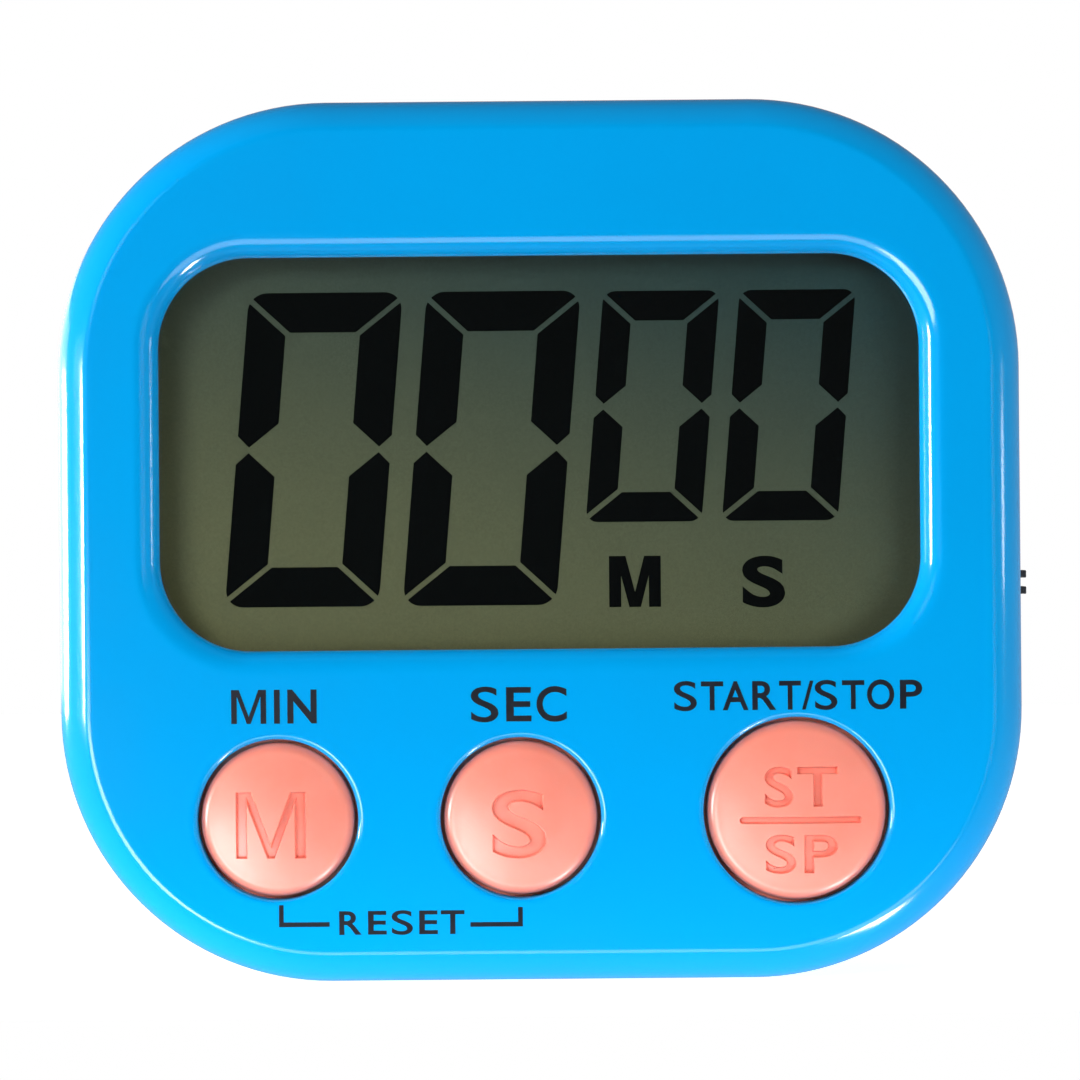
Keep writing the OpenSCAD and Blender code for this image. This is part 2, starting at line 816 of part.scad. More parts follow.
module battery_door() {
    left = -recess_w / 2 + door_gap;
    low = recess_bottom + door_gap;
    high = recess_top - door_gap;
    color(blue) place() difference() {
        union() {
            box([left, low, 0], [-left, high, door_t - 0.05]);
            for (side = [-1, 1]) {
                x = side * door_tab_x;
                box([x - door_tab_w / 2, low, door_t - 0.2],
                    [x + door_tab_w / 2, low + 0.9, tab_z + tab_t]);
                box([x - door_tab_w / 2, recess_bottom - 1.3, tab_z],
                    [x + door_tab_w / 2, low + 0.9, tab_z + tab_t]);
            }
            box([-3, high - 1.4, door_t - 0.2], [3, high - 0.5, door_t + 2.4]);
        }
        // finger grooves beside the latch
        for (i = [0:2])
            box([-4, high - 2.6 - 1.2 * i, -cut], [4, high - 2 - 1.2 * i, 0.4]);
    }
}

module stand() {
    rib_w = 1.2;
    top = hinge_y + stand_l;
    half = stand_w / 2;
    color(blue) place() difference() {
        union() {
            box([-half, hinge_y, stand_skin], [half, top, stand_skin + stand_plate_t]);
            for (side = [-1, 1])
                translate([side * (half - rib_w / 2), 0, 0])
                    box([-rib_w / 2, hinge_y, stand_skin], [rib_w / 2, top - 2, stand_rib_top]);
            rod_x([-half, hinge_y, hinge_z], knuckle_r, stand_w);
            rod_x([-half - pin_l, hinge_y, hinge_z], pin_r, stand_w + 2 * pin_l);
        }
        // grip grooves near the free end
        for (i = [0:3])
            box([-6, top - 2.4 - 1.4 * i, -cut], [6, top - 1.7 - 1.4 * i, stand_skin + 0.4]);
    }
}

module magnets() {
    color("#8E9296") place() for (side = [-1, 1])
        rod([side * magnet_x, magnet_y, 0.05], magnet_r, magnet_t);
}

module case_screws() {
    color(steel) place() for (at = case_screws_at)
        screw(at, case_seat_z, case_head_r, case_head_h, case_screw_r, case_screw_end_z);
}

module board_screws() {
    color(steel) place() for (at = board_screws_at)
        screw(at, board_back_z, board_head_r, board_head_h, board_screw_r, board_front_z + 2.6);
}

front_shell();
rear_shell();
window_lens();
lens_tape();
lcd_front_polariser();
lcd_front_glass();
lcd_rear_glass();
lcd_reflector();
lcd_bracket();
zebra_strip();
circuit_board();
chip_blob();
crystal_can();
chip_capacitors();
minute_button();
second_button();
start_button();
minute_dome();
second_dome();
start_dome();
power_slider();
power_switch_can();
buzzer_disc();
buzzer_ceramic();
buzzer_wire_red();
buzzer_wire_black();
battery_cell();
battery_spring();
spring_plate();
battery_plate();
battery_wire_red();
battery_wire_black();
battery_door();
stand();
magnets();
case_screws();
board_screws();
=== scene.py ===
"""Digital kitchen timer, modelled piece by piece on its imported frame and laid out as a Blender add-on."""
import math

import bmesh
import bpy
from mathutils import Matrix, Vector


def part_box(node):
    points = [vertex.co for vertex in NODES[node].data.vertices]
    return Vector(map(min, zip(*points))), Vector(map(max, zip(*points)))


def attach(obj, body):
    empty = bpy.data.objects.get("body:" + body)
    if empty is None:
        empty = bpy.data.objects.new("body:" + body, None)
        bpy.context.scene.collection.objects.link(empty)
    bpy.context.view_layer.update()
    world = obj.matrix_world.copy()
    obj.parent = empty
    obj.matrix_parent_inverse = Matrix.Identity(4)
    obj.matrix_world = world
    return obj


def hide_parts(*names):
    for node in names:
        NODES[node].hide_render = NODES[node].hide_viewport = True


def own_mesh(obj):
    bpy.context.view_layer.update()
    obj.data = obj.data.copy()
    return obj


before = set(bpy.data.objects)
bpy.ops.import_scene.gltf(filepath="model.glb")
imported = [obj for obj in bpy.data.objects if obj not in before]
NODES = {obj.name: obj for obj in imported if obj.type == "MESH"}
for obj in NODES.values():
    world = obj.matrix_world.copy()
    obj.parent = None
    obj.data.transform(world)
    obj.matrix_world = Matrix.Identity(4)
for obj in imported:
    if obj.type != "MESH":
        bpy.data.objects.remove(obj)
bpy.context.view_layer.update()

bl_info = {
    "name": "Kitchen timer",
    "version": (1, 0, 0),
    "blender": (4, 5, 0),
    "location": "3D View > Sidebar > Timer",
    "description": "Builds a digital kitchen timer and its studio",
    "category": "Object",
}

SHELL_LOW, SHELL_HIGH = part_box("front_shell")
PI = math.pi
SEAM = SHELL_HIGH.y  # world depth of the seam between the shells


# ---------------------------------------------------------------- settings


def length(name, description, millimetres):
    return bpy.props.FloatProperty(
        name=name, description=description, default=millimetres / 1000, unit="LENGTH", precision=5
    )


def colour(name, description, text):
    return bpy.props.StringProperty(name=name, description=description, default=text)


class TimerSizes(bpy.types.PropertyGroup):
    """Sizes of the pieces that are seen, in metres"""

    corner: length("Corner", "Corner radius of the outline", 21.3)
    crease: length("Crease", "Radius of the soft crease round the face", 1.0)
    wall: length("Wall", "Wall of the shells", 1.6)
    face_wall: length("Face wall", "Wall behind the face", 2.0)
    window_wide: length("Window width", "Clear opening, side to side", 59.8)
    window_high: length("Window height", "Clear opening, bottom to top", 30.9)
    window_mid: length("Window centre", "Height of the window's centre", 41.65)
    window_corner: length("Window corner", "Corner radius of the opening", 7.1)
    window_rim: length("Window rim", "Radius of the rounded rim", 1.8)
    button_gap: length("Button gap", "Gap round each button", 0.28)
    button_dome: length("Button dome", "How far a cap's middle stands above its edge", 0.7)
    button_edge: length("Button edge", "Radius of a cap's edge", 0.9)
    letter_deep: length("Letter depth", "How deep the letters are pressed in", 0.45)
    ink: length("Ink", "How far the printing stands proud", 0.02)
    segment: length("Segment", "Thickness drawn for the display's segments", 0.02)


class TimerColours(bpy.types.PropertyGroup):
    """Colours of the finishes, as sRGB hex values"""

    shell: colour("Shell", "Glossy blue of both shells", "#00A7F0")
    shell_deep: colour("Shell, deep", "The blue where the plastic is thickest", "#009DE6")
    button: colour("Button", "Coral of the push buttons", "#F58975")
    button_light: colour("Button, light", "Coral where the moulding is palest", "#F89683")
    # the display's ground is painted between the next two colours: the dark one is painted shade at the top
    # and right, the olive one painted light low on the left
    display: colour("Display", "Grey-green ground of the display", "#2D4B56")
    display_painted_light: colour("Display, warm", "Olive that the ground turns to low down", "#8F8868")
    segment: colour("Segment", "Dark segments of the display", "#04070B")
    ink: colour("Ink", "Printed legends", "#050A16")
    slider: colour("Slider", "Black of the power slider", "#17181B")


def mm(value):
    """Metres to the millimetres that the modelling is done in."""
    return value * 1000


def sizes():
    return bpy.context.scene.timer_sizes


# ---------------------------------------------------------------- materials


def hex_linear(text, alpha=1.0):
    """An sRGB hex colour as the linear colour that nodes take."""
    parts = [int(text[i:i + 2], 16) / 255 for i in (1, 3, 5)]
    return tuple(c / 12.92 if c <= 0.04045 else ((c + 0.055) / 1.055) ** 2.4 for c in parts) + (alpha,)


def add(tree, kind, settings=None, values=None, links=None):
    """Adds a node: its settings, the values of its inputs, and links as {input: (node, output)}."""
    n = tree.nodes.new(kind)
    for key, value in (settings or {}).items():
        setattr(n, key, value)
    for key, value in (values or {}).items():
        n.inputs[key].default_value = value
    for key, (source, output) in (links or {}).items():
        tree.links.new(source.outputs[output], n.inputs[key])
    return n


def new_tree(name):
    material = bpy.data.materials.new(name)
    material.use_nodes = True
    material.node_tree.nodes.clear()
    return material, material.node_tree


def per_mm(size):
    """Scale of a noise whose patches are about this many millimetres wide, on coordinates in metres."""
    return 1000 / size


def finish(name, colours, rough, patch=6.0, grain=0.4, relief=0.002, sockets=None, stretch=None):
    """A solid finish: two colours in soft patches, roughness that varies between two values, and a
    fine relief. Sizes are in millimetres."""
    material, tree = new_tree(name)
    place = add(tree, "ShaderNodeTexCoord")
    coords = (place, "Object")
    if stretch:
        stretched = add(tree, "ShaderNodeMapping", values={"Scale": stretch}, links={"Vector": coords})
        coords = (stretched, "Vector")
    patches, fine = (
        add(tree, "ShaderNodeTexNoise", values={"Scale": per_mm(size), "Detail": detail},
            links={"Vector": coords})
        for size, detail in ((patch, 3.0), (grain, 2.0))
    )
    tint = add(
        tree, "ShaderNodeMix", {"data_type": "RGBA"},
        {6: hex_linear(colours[0]), 7: hex_linear(colours[1])}, {0: (patches, "Fac")},
    )
    gloss = add(
        tree, "ShaderNodeMapRange",
        values={"From Min": 0.3, "From Max": 0.7, "To Min": rough[0], "To Max": rough[1]},
        links={"Value": (patches, "Fac")},
    )
    bump = add(
        tree, "ShaderNodeBump", values={"Strength": 1.0, "Distance": relief / 1000},
        links={"Height": (fine, "Fac")},
    )
    shader = add(
        tree, "ShaderNodeBsdfPrincipled", values=sockets or {},
        links={"Roughness": (gloss, "Result"), "Normal": (bump, "Normal")},
    )
    tree.links.new(tint.outputs[2], shader.inputs["Base Color"])
    add(tree, "ShaderNodeOutputMaterial", links={"Surface": (shader, "BSDF")})
    return material


def clear_sheet(name, tint, mirror, haze=0.02):
    """A clear sheet: what is behind shows through its tint, and its face mirrors a small share, and
    more towards a glancing view."""
    material, tree = new_tree(name)
    place = add(tree, "ShaderNodeTexCoord")
    waves = add(
        tree, "ShaderNodeTexNoise", values={"Scale": per_mm(9), "Detail": 2.0},
        links={"Vector": (place, "Object")},
    )
    gloss = add(
        tree, "ShaderNodeMapRange",
        values={"From Min": 0.3, "From Max": 0.7, "To Min": haze * 0.7, "To Max": haze * 1.4},
        links={"Value": (waves, "Fac")},
    )
    through = add(tree, "ShaderNodeBsdfTransparent", values={"Color": hex_linear(tint)})
    shine = add(tree, "ShaderNodeBsdfGlossy", links={"Roughness": (gloss, "Result")})
    edge_on = add(tree, "ShaderNodeLayerWeight", values={"Blend": 0.5})
    steep = add(tree, "ShaderNodeMath", {"operation": "POWER"}, {1: 5.0}, {0: (edge_on, "Facing")})
    share = add(
        tree, "ShaderNodeMapRange", values={"To Min": mirror, "To Max": 0.9},
        links={"Value": (steep, "Value")},
    )
    mixed = add(
        tree, "ShaderNodeMixShader", links={0: (share, "Result"), 1: (through, "BSDF"), 2: (shine, "BSDF")}
    )
    add(tree, "ShaderNodeOutputMaterial", links={"Surface": (mixed, "Shader")})
    return material


def display_ground(name, cool, warm):
    """Grey reflective film of the display, seen through its glass: painted shade, dark and cool, towards the
    top and right, turning to painted light, pale and warm, low on the left; and a fine sparkle."""
    material, tree = new_tree(name)
    place = add(tree, "ShaderNodeTexCoord")
    low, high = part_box("lcd_rear_glass")
    # painted light and shade: the ground is painted pale and warm low and to the left, as painted light and
    # reflection, and dark towards the top and right, as painted shade
    lean = Vector((0.28, 0.0, 1.0))
    along = add(
        tree, "ShaderNodeVectorMath", {"operation": "DOT_PRODUCT"}, {1: lean}, {0: (place, "Object")}
    )
    rise = add(
        tree, "ShaderNodeMapRange", {"interpolation_type": "SMOOTHSTEP"},
        {"From Min": low.dot(lean), "From Max": high.dot(lean), "To Min": 1.0, "To Max": 0.0},
        {"Value": (along, "Value")},
    )
    # the film's crushed grains are 0.15 mm across
    sparkle = add(
        tree, "ShaderNodeTexNoise", values={"Scale": per_mm(0.15), "Detail": 2.0},
        links={"Vector": (place, "Object")},
    )
    tint = add(tree, "ShaderNodeMix", {"data_type": "RGBA"}, links={"Factor": (rise, "Result")})
    tint.inputs[6].default_value = hex_linear(cool)
    tint.inputs[7].default_value = hex_linear(warm)
    grain = add(
        tree, "ShaderNodeMapRange", values={"From Min": 0.3, "From Max": 0.7, "To Min": 0.9, "To Max": 1.08},
        links={"Value": (sparkle, "Fac")},
    )
    shaded = add(tree, "ShaderNodeVectorMath", {"operation": "SCALE"}, links={"Scale": (grain, "Result")})
    tree.links.new(tint.outputs[2], shaded.inputs[0])
    gloss = add(
        tree, "ShaderNodeMapRange", values={"From Min": 0.3, "From Max": 0.7, "To Min": 0.4, "To Max": 0.55},
        links={"Value": (sparkle, "Fac")},
    )
    shader = add(
        tree, "ShaderNodeBsdfPrincipled", values={"Specular IOR Level": 0.2},
        links={"Base Color": (shaded, "Vector"), "Roughness": (gloss, "Result")},
    )
    add(tree, "ShaderNodeOutputMaterial", links={"Surface": (shader, "BSDF")})
    return material


def circuit_laminate(name):
    """Glass-fibre board under green solder mask, with copper tracks 0.5 mm wide showing through as
    paler lines."""
    material, tree = new_tree(name)
    place = add(tree, "ShaderNodeTexCoord")
    turned = add(
        tree, "ShaderNodeMapping", values={"Rotation": (PI / 2, 0, 0)}, links={"Vector": (place, "Object")}
    )
    tracks = add(
        tree, "ShaderNodeTexBrick",
        values={
            "Scale": 1.0, "Mortar Size": 0.00025, "Mortar Smooth": 0.1, "Brick Width": 0.0091,
            "Row Height": 0.0023, "Color1": hex_linear("#0E4A2B"), "Color2": hex_linear("#12522F"),
            "Mortar": hex_linear("#2F8A55"),
        },
        links={"Vector": (turned, "Vector")},
    )
    bump = add(
        tree, "ShaderNodeBump", values={"Strength": 0.6, "Distance": 0.00003},
        links={"Height": (tracks, "Fac")},
    )
    shader = add(
        tree, "ShaderNodeBsdfPrincipled", values={"Roughness": 0.35},
        links={"Base Color": (tracks, "Color"), "Normal": (bump, "Normal")},
    )
    add(tree, "ShaderNodeOutputMaterial", links={"Surface": (shader, "BSDF")})
    return material


def battery_print(name):
    """Printed shrink film round the cell: black with a copper band at the plus end, and a slight
    ripple from shrinking."""
    material, tree = new_tree(name)
    place = add(tree, "ShaderNodeTexCoord")
    split = add(tree, "ShaderNodeSeparateXYZ", links={"Vector": (place, "Object")})
    low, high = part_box("battery_cell")
    along = add(
        tree, "ShaderNodeMapRange", values={"From Min": low.x, "From Max": high.x},
        links={"Value": (split, "X")},
    )
    bands = add(tree, "ShaderNodeValToRGB", links={"Fac": (along, "Result")})
    bands.color_ramp.interpolation = "CONSTANT"
    bands.color_ramp.elements[0].color = hex_linear("#B9702C")
    bands.color_ramp.elements[1].position = 0.34
    bands.color_ramp.elements[1].color = hex_linear("#121315")
    ripple = add(
        tree, "ShaderNodeTexNoise", values={"Scale": per_mm(2.5), "Detail": 1.0},
        links={"Vector": (place, "Object")},
    )
    bump = add(
        tree, "ShaderNodeBump", values={"Strength": 0.3, "Distance": 0.00005},
        links={"Height": (ripple, "Fac")},
    )
    gloss = add(
        tree, "ShaderNodeMapRange", values={"To Min": 0.2, "To Max": 0.34}, links={"Value": (ripple, "Fac")}
    )
    shader = add(
        tree, "ShaderNodeBsdfPrincipled", values={"Metallic": 0.35},
        links={
            "Base Color": (bands, "Color"), "Roughness": (gloss, "Result"), "Normal": (bump, "Normal"),
        },
    )
    add(tree, "ShaderNodeOutputMaterial", links={"Surface": (shader, "BSDF")})
    return material


def make_materials():
    """Every finish of the timer, by name."""
    hues = bpy.context.scene.timer_colours
    made = {
        # polished-mould ABS: deep gloss, with the slight long waves of a moulded face
        "blue_abs": finish(
            "blue_abs_moulded", (hues.shell, hues.shell_deep), (0.09, 0.15), patch=22, grain=7,
            relief=0.004, sockets={"IOR": 1.5, "Specular IOR Level": 0.35},
        ),
        # lightly textured ABS: satin, so highlights spread and letters stay readable
        "coral_abs": finish(
            "coral_abs_moulded", (hues.button, hues.button_light), (0.3, 0.38), patch=3.5, grain=0.22,
            relief=0.0035, sockets={"IOR": 1.5, "Subsurface Weight": 0.25, "Subsurface Scale": 0.0006,
                                    "Subsurface Radius": (1.0, 0.45, 0.3)},
        ),
        # spark-eroded black ABS: matt with a fine grain of 0.15 mm
        "black_abs": finish(
            "black_abs_textured", (hues.slider, "#202226"), (0.42, 0.55), patch=1.5, grain=0.15, relief=0.01
        ),
        # natural white ABS of the display carrier: dull and slightly warm
        "white_abs": finish("white_abs_moulded", ("#E9E8E2", "#DEDDD6"), (0.4, 0.5), patch=8, grain=0.3),
        # cast acrylic window: clear, mirrors faintly
        "clear_acrylic": clear_sheet("clear_acrylic_sheet", "#FAFCFB", 0.03, 0.015),
        # polariser film bonded to glass: a faint grey veil with an anti-glare haze
        "polariser": clear_sheet("polariser_film_on_glass", "#F0F3EF", 0.004, 0.09),
        # the display's film, painted with light low on the left and shade towards the top and right
        "display_ground": display_ground("display_reflector_film", hues.display, hues.display_painted_light),
        # liquid crystal switched on: near black with a cold sheen
        "segment": finish(
            "liquid_crystal_dark", (hues.segment, "#05080C"), (0.55, 0.65), patch=5, grain=0.3, relief=0.0005,
            sockets={"Specular IOR Level": 0.02},
        ),
        # pad-print ink: thin, slightly matt against the gloss
        "ink": finish(
            "pad_print_ink", (hues.ink, "#081020"), (0.35, 0.45), patch=0.8, grain=0.12, relief=0.002,
            sockets={"Specular IOR Level": 0.15},
        ),
        # black foam tape: dead matt with open cells
        "tape": finish(
            "foam_tape_black", ("#0C0D0F", "#15171A"), (0.7, 0.85), patch=2, grain=0.2, relief=0.02
        ),
        # translucent silicone rubber: milky and soft
        "silicone": finish(
            "silicone_rubber_moulded", ("#C9CCD0", "#BCC0C6"), (0.42, 0.55), patch=4, grain=0.25,
            relief=0.004, sockets={"Subsurface Weight": 0.4, "Subsurface Scale": 0.001},
        ),
        # contact rubber built from thin layers: fine dark and pale bars along it
        "zebra": finish(
            "zebra_rubber_layered", ("#1A1A1C", "#E6C9C4"), (0.5, 0.6), patch=0.25, grain=0.1,
            relief=0.004, stretch=(1, 0.001, 0.001),
        ),
        # glass-fibre board under green mask: satin, with paler tracks
        "laminate": circuit_laminate("glass_fibre_board_masked"),
        # epoxy poured over the chip: black, glossy and slightly uneven
        "epoxy": finish(
            "black_epoxy_cured", ("#0B0B0D", "#121316"), (0.2, 0.32), patch=3, grain=0.6, relief=0.01
        ),
        # fired ceramic chips: tan and dull
        "capacitor": finish(
            "ceramic_capacitor_fired", ("#B98F63", "#A67E55"), (0.4, 0.5), patch=1, grain=0.2
        ),
        # fired piezo ceramic with its silvered face
        "piezo": finish("piezo_ceramic_silvered", ("#D9DAD6", "#CBCCC8"), (0.45, 0.6), patch=1.2, grain=0.12,
                        relief=0.004, sockets={"Metallic": 0.5}),
        # bright zinc plate: fine streaks and a soft, slightly blue sheen
        "zinc_steel": finish("zinc_plated_steel", ("#C3C8CE", "#A9AFB8"), (0.22, 0.38), patch=1.2, grain=0.25,
                             relief=0.002, sockets={"Metallic": 1.0}),
        # nickel-plated spring wire and strip: brighter and a little warmer than zinc
        "spring_steel": finish("nickel_plated_spring_steel", ("#C9C7C0", "#B0AEA8"), (0.18, 0.32), patch=1.5,
                               grain=0.2, relief=0.002, sockets={"Metallic": 1.0}),
        # nickel-plated ground magnet: nearly a mirror, with a warm grey cast
        "magnet": finish("nickel_plated_magnet", ("#CFCDC6", "#BDBAB2"), (0.12, 0.24), patch=4, grain=0.5,
                         relief=0.001, sockets={"Metallic": 1.0}),
        # rolled brass: warm, with rolling lines along the sheet
        "brass": finish("brass_sheet_rolled", ("#D0A557", "#B98E45"), (0.22, 0.36), patch=2.5, grain=0.2,
                        relief=0.002, sockets={"Metallic": 1.0}, stretch=(1, 1, 0.08)),
        # extruded PVC insulation: smooth and slightly waxy
        "red_wire": finish(
            "pvc_insulation_red", ("#C3211D", "#AC1A18"), (0.3, 0.42), patch=2, grain=0.3
        ),
        "black_wire": finish(
            "pvc_insulation_black", ("#151517", "#1E1E21"), (0.3, 0.42), patch=2, grain=0.3
        ),
        # metallised print on shrink film: glossy bands round the cell
        "jacket": battery_print("battery_film_printed"),
    }
    return made


MATERIALS = {}


# ---------------------------------------------------------------- modelling helpers


def facing_front(level=0.0):
    """Millimetres on the face, x to the right, y up and z out of it, to the frame in metres. level is
    the world depth, in metres, that z = 0 lies at."""
    return Matrix.Translation((0, level, 0)) @ Matrix.Rotation(PI / 2, 4, "X") @ Matrix.Scale(0.001, 4)


def new_bmesh(mesh=None, scale=None):
    bm = bmesh.new()
    if mesh is not None:
        bm.from_mesh(mesh)
    if scale is not None:
        bmesh.ops.scale(bm, vec=(scale,) * 3, verts=bm.verts)
    return bm


def settle(bm, gap=0.0005):
    """Merges doubles and turns every face outwards."""
    bmesh.ops.remove_doubles(bm, verts=bm.verts, dist=gap)
    bmesh.ops.recalc_face_normals(bm, faces=bm.faces)


def piece(name, bm, place, materials, body, replaces=(), crisp=32, weighted=False):
    """Makes the object of a finished bmesh: shaded smooth but for edges sharper than crisp degrees,
    riding on its body."""
    mesh = bpy.data.meshes.new(name)
    bmesh.ops.transform(bm, matrix=place, verts=bm.verts)
    bm.to_mesh(mesh)
    bm.free()
    mesh.polygons.foreach_set("use_smooth", [True] * len(mesh.polygons))
    mesh.set_sharp_from_angle(angle=math.radians(crisp))
    for m in materials:
        mesh.materials.append(MATERIALS[m])
    obj = bpy.data.objects.new(name, mesh)
    bpy.context.scene.collection.objects.link(obj)
    if weighted:  # flats stay flat up to their rounded edges
        obj.modifiers.new("weighted", "WEIGHTED_NORMAL").keep_sharp = True
    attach(obj, body)
    if replaces:
        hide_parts(*replaces)
    return obj


def rounded_face(bm, wide, high, radius, at=(0, 0, 0), steps=24):
    """One flat face with rounded corners."""
    before = set(bm.faces)
    verts = bmesh.ops.create_grid(bm, x_segments=1, y_segments=1, size=0.5)["verts"]
    bmesh.ops.scale(bm, vec=(wide, high, 1), verts=verts)
    bmesh.ops.translate(bm, vec=at, verts=verts)
    if radius > 0:
        bmesh.ops.bevel(
            bm, geom=verts, offset=radius, offset_type="OFFSET", segments=steps, profile=0.5,
            affect="VERTICES", material=-1,
        )
    return next(f for f in bm.faces if f not in before)


def round_face(bm, radius, at=(0, 0, 0), steps=96):
    """One flat round face."""
    before = set(bm.faces)
    verts = bmesh.ops.create_circle(bm, cap_ends=True, segments=steps, radius=radius)["verts"]
    bmesh.ops.translate(bm, vec=at, verts=verts)
    return next(f for f in bm.faces if f not in before)


def inset(bm, face, thickness, rise=0.0):
    """Steps a face inwards, and up or down by rise."""
    bmesh.ops.inset_individual(bm, faces=[face], thickness=thickness, depth=rise, use_even_offset=True)
    return face


def lift(bm, face, by):
    """Extrudes a face straight by a vector and returns the new face."""
    new = bmesh.ops.extrude_discrete_faces(bm, faces=[face])["faces"][0]
    bmesh.ops.translate(bm, vec=by, verts=new.verts)
    return new


def open_up(bm, face):
    """Takes a face away and returns the loop of edges that it leaves."""
    edges = list(face.edges)
    bmesh.ops.delete(bm, geom=[face], context="FACES_ONLY")
    return edges


def roll(bm, face, radius, start, end, steps):
    """Rounds a face's border: insets it along an arc from start to end degrees, where 90 is a wall and
    0 is the face. Going from 90 to 0 rises, from 0 to 90 falls."""
    for i in range(steps):
        a = math.radians(start + (end - start) * i / steps)
        b = math.radians(start + (end - start) * (i + 1) / steps)
        inset(bm, face, radius * abs(math.sin(a) - math.sin(b)), radius * (math.cos(b) - math.cos(a)))
    return face


def opening(bm, face, band, radius, floor):
    """Turns a face at z = 0 into the border, rounded rim and wall of an opening down to floor, and
    returns its top and bottom loops."""
    inset(bm, face, band)
    ring = {f for e in face.edges for f in e.link_faces} - {face}
    top = [e for f in ring for e in f.edges if e.is_boundary]
    roll(bm, face, radius, 0, 90, 12 if radius > 1 else 5)
    drop = floor - face.verts[0].co.z
    face = lift(bm, face, (0, 0, drop))
    return top, open_up(bm, face)


def extrude_loop(bm, edges, by=(0, 0, 0), grow=1.0):
    """Extrudes a loop, moves it by a vector and scales it about the z axis, and returns the new loop."""
    made = bmesh.ops.extrude_edge_only(bm, edges=edges)["geom"]
    verts = [g for g in made if isinstance(g, bmesh.types.BMVert)]
    bmesh.ops.scale(bm, vec=(grow, grow, 1), verts=verts)
    bmesh.ops.translate(bm, vec=by, verts=verts)
    moved = set(verts)
    edges = [e for e in made if isinstance(e, bmesh.types.BMEdge)]
    return [e for e in edges if e.verts[0] in moved and e.verts[1] in moved]


def lettering(text, wide=None, high=None, at=(0, 0), bold=0.0, spacing=1.0):
    """The outlines of a text as flat faces in a bmesh, centred at a point and stretched to a width and
    height in millimetres."""
    curve = bpy.data.curves.new("lettering", "FONT")
    curve.body, curve.size, curve.offset, curve.space_character = text, 1.0, bold, spacing
    curve.resolution_u = 8
    obj = bpy.data.objects.new("lettering", curve)
    bpy.context.scene.collection.objects.link(obj)
    bpy.context.view_layer.update()
    mesh = bpy.data.meshes.new_from_object(obj.evaluated_get(bpy.context.evaluated_depsgraph_get()))
    bm = new_bmesh(mesh)
    bpy.data.objects.remove(obj)
    bpy.data.curves.remove(curve)
    bpy.data.meshes.remove(mesh)
    bmesh.ops.remove_doubles(bm, verts=bm.verts, dist=0.0002)
    xs, ys = [v.co.x for v in bm.verts], [v.co.y for v in bm.verts]
    by_high = high / (max(ys) - min(ys))
    by_wide = wide / (max(xs) - min(xs)) if wide else by_high
    middle = Vector(((max(xs) + min(xs)) / 2, (max(ys) + min(ys)) / 2, 0))
    bmesh.ops.translate(bm, vec=-middle, verts=bm.verts)
    bmesh.ops.scale(bm, vec=(by_wide, by_high, 1), verts=bm.verts)
    bmesh.ops.translate(bm, vec=(at[0], at[1], 0), verts=bm.verts)
    return bm


def letter_m(wide, high, stroke, at=(0, 0)):
    """A square-shouldered M as flat faces in a bmesh: a block cut along its stems and both edges of
    its slanted strokes."""
    bm = bmesh.new()
    rounded_face(bm, wide, high, 0)
    stem, shoulder = wide / 2 - stroke, wide / 2 - 1.38 * stroke
    notch = 1.25 * stroke - high / 2
    slope = (high / 2 - notch) / shoulder
    foot = shoulder + 0.8 * stroke - high / slope
    upper = ((shoulder, high / 2), (0.0, notch))
    lower = ((stem, high / 2 - 0.42 * stroke * slope), (foot, -high / 2))
    cuts = [((0, 0), (1, 0))]
    for side in (-1, 1):
        cuts.append(((side * stem, 0), (1, 0)))
        for (x, y), (to_x, to_y) in (lower, upper):
            cuts.append(((side * x, y), (to_y - y, side * (x - to_x))))
    for (x, y), (across, along) in cuts:
        bmesh.ops.bisect_plane(
            bm, geom=list(bm.verts) + list(bm.edges) + list(bm.faces), dist=0.0001,
            plane_co=(x, y, 0), plane_no=(across, along, 0),
        )

    def beyond(line, x, y):  # how far a point lies above a line
        (ax, ay), (bx, by) = line
        return y - (ay + (by - ay) * (x - ax) / (bx - ax))

    gone = []
    for f in bm.faces:
        c = f.calc_center_median()
        x = abs(c.x)
        if beyond(upper, x, c.y) > 0 and x < shoulder or beyond(lower, x, c.y) < 0 and foot < x < stem:
            gone.append(f)
    bmesh.ops.delete(bm, geom=gone, context="FACES")
    bmesh.ops.dissolve_limit(bm, angle_limit=0.01, verts=bm.verts, edges=bm.edges)
    bmesh.ops.translate(bm, vec=(at[0], at[1], 0), verts=bm.verts)
    return bm


def word(letters, middle, high, bold):
    """A word set letter by letter as (letter, left, right), each stretched between its sides, about
    the height middle."""
    bm = bmesh.new()
    for letter, left, right in letters:
        at = ((left + right) / 2, middle)
        if letter == "M":
            take_in(bm, letter_m(right - left, high, 0.165 * high, at))
        else:
            tall = high * (1.04 if letter in "SCO" else 1.0)
            # thickens each letter's stroke to about the same width; an I is one bare stroke
            weight = {"I": 0.0, "N": 2.5, "S": 0.8, "/": 1.0}.get(letter, 1.6)
            take_in(bm, lettering(letter, right - left, tall, at, weight * bold))
    return bm


def take_in(bm, other):
    """Adds another bmesh to this one."""
    mesh = bpy.data.meshes.new("take_in")
    other.to_mesh(mesh)
    other.free()
    bm.from_mesh(mesh)
    bpy.data.meshes.remove(mesh)


def thicken(bm, by):
    """Gives flat faces a thickness along +z."""
    made = bmesh.ops.extrude_face_region(bm, geom=list(bm.faces))["geom"]
    bmesh.ops.translate(bm, vec=(0, 0, by), verts=[g for g in made if isinstance(g, bmesh.types.BMVert)])
    bmesh.ops.recalc_face_normals(bm, faces=bm.faces)


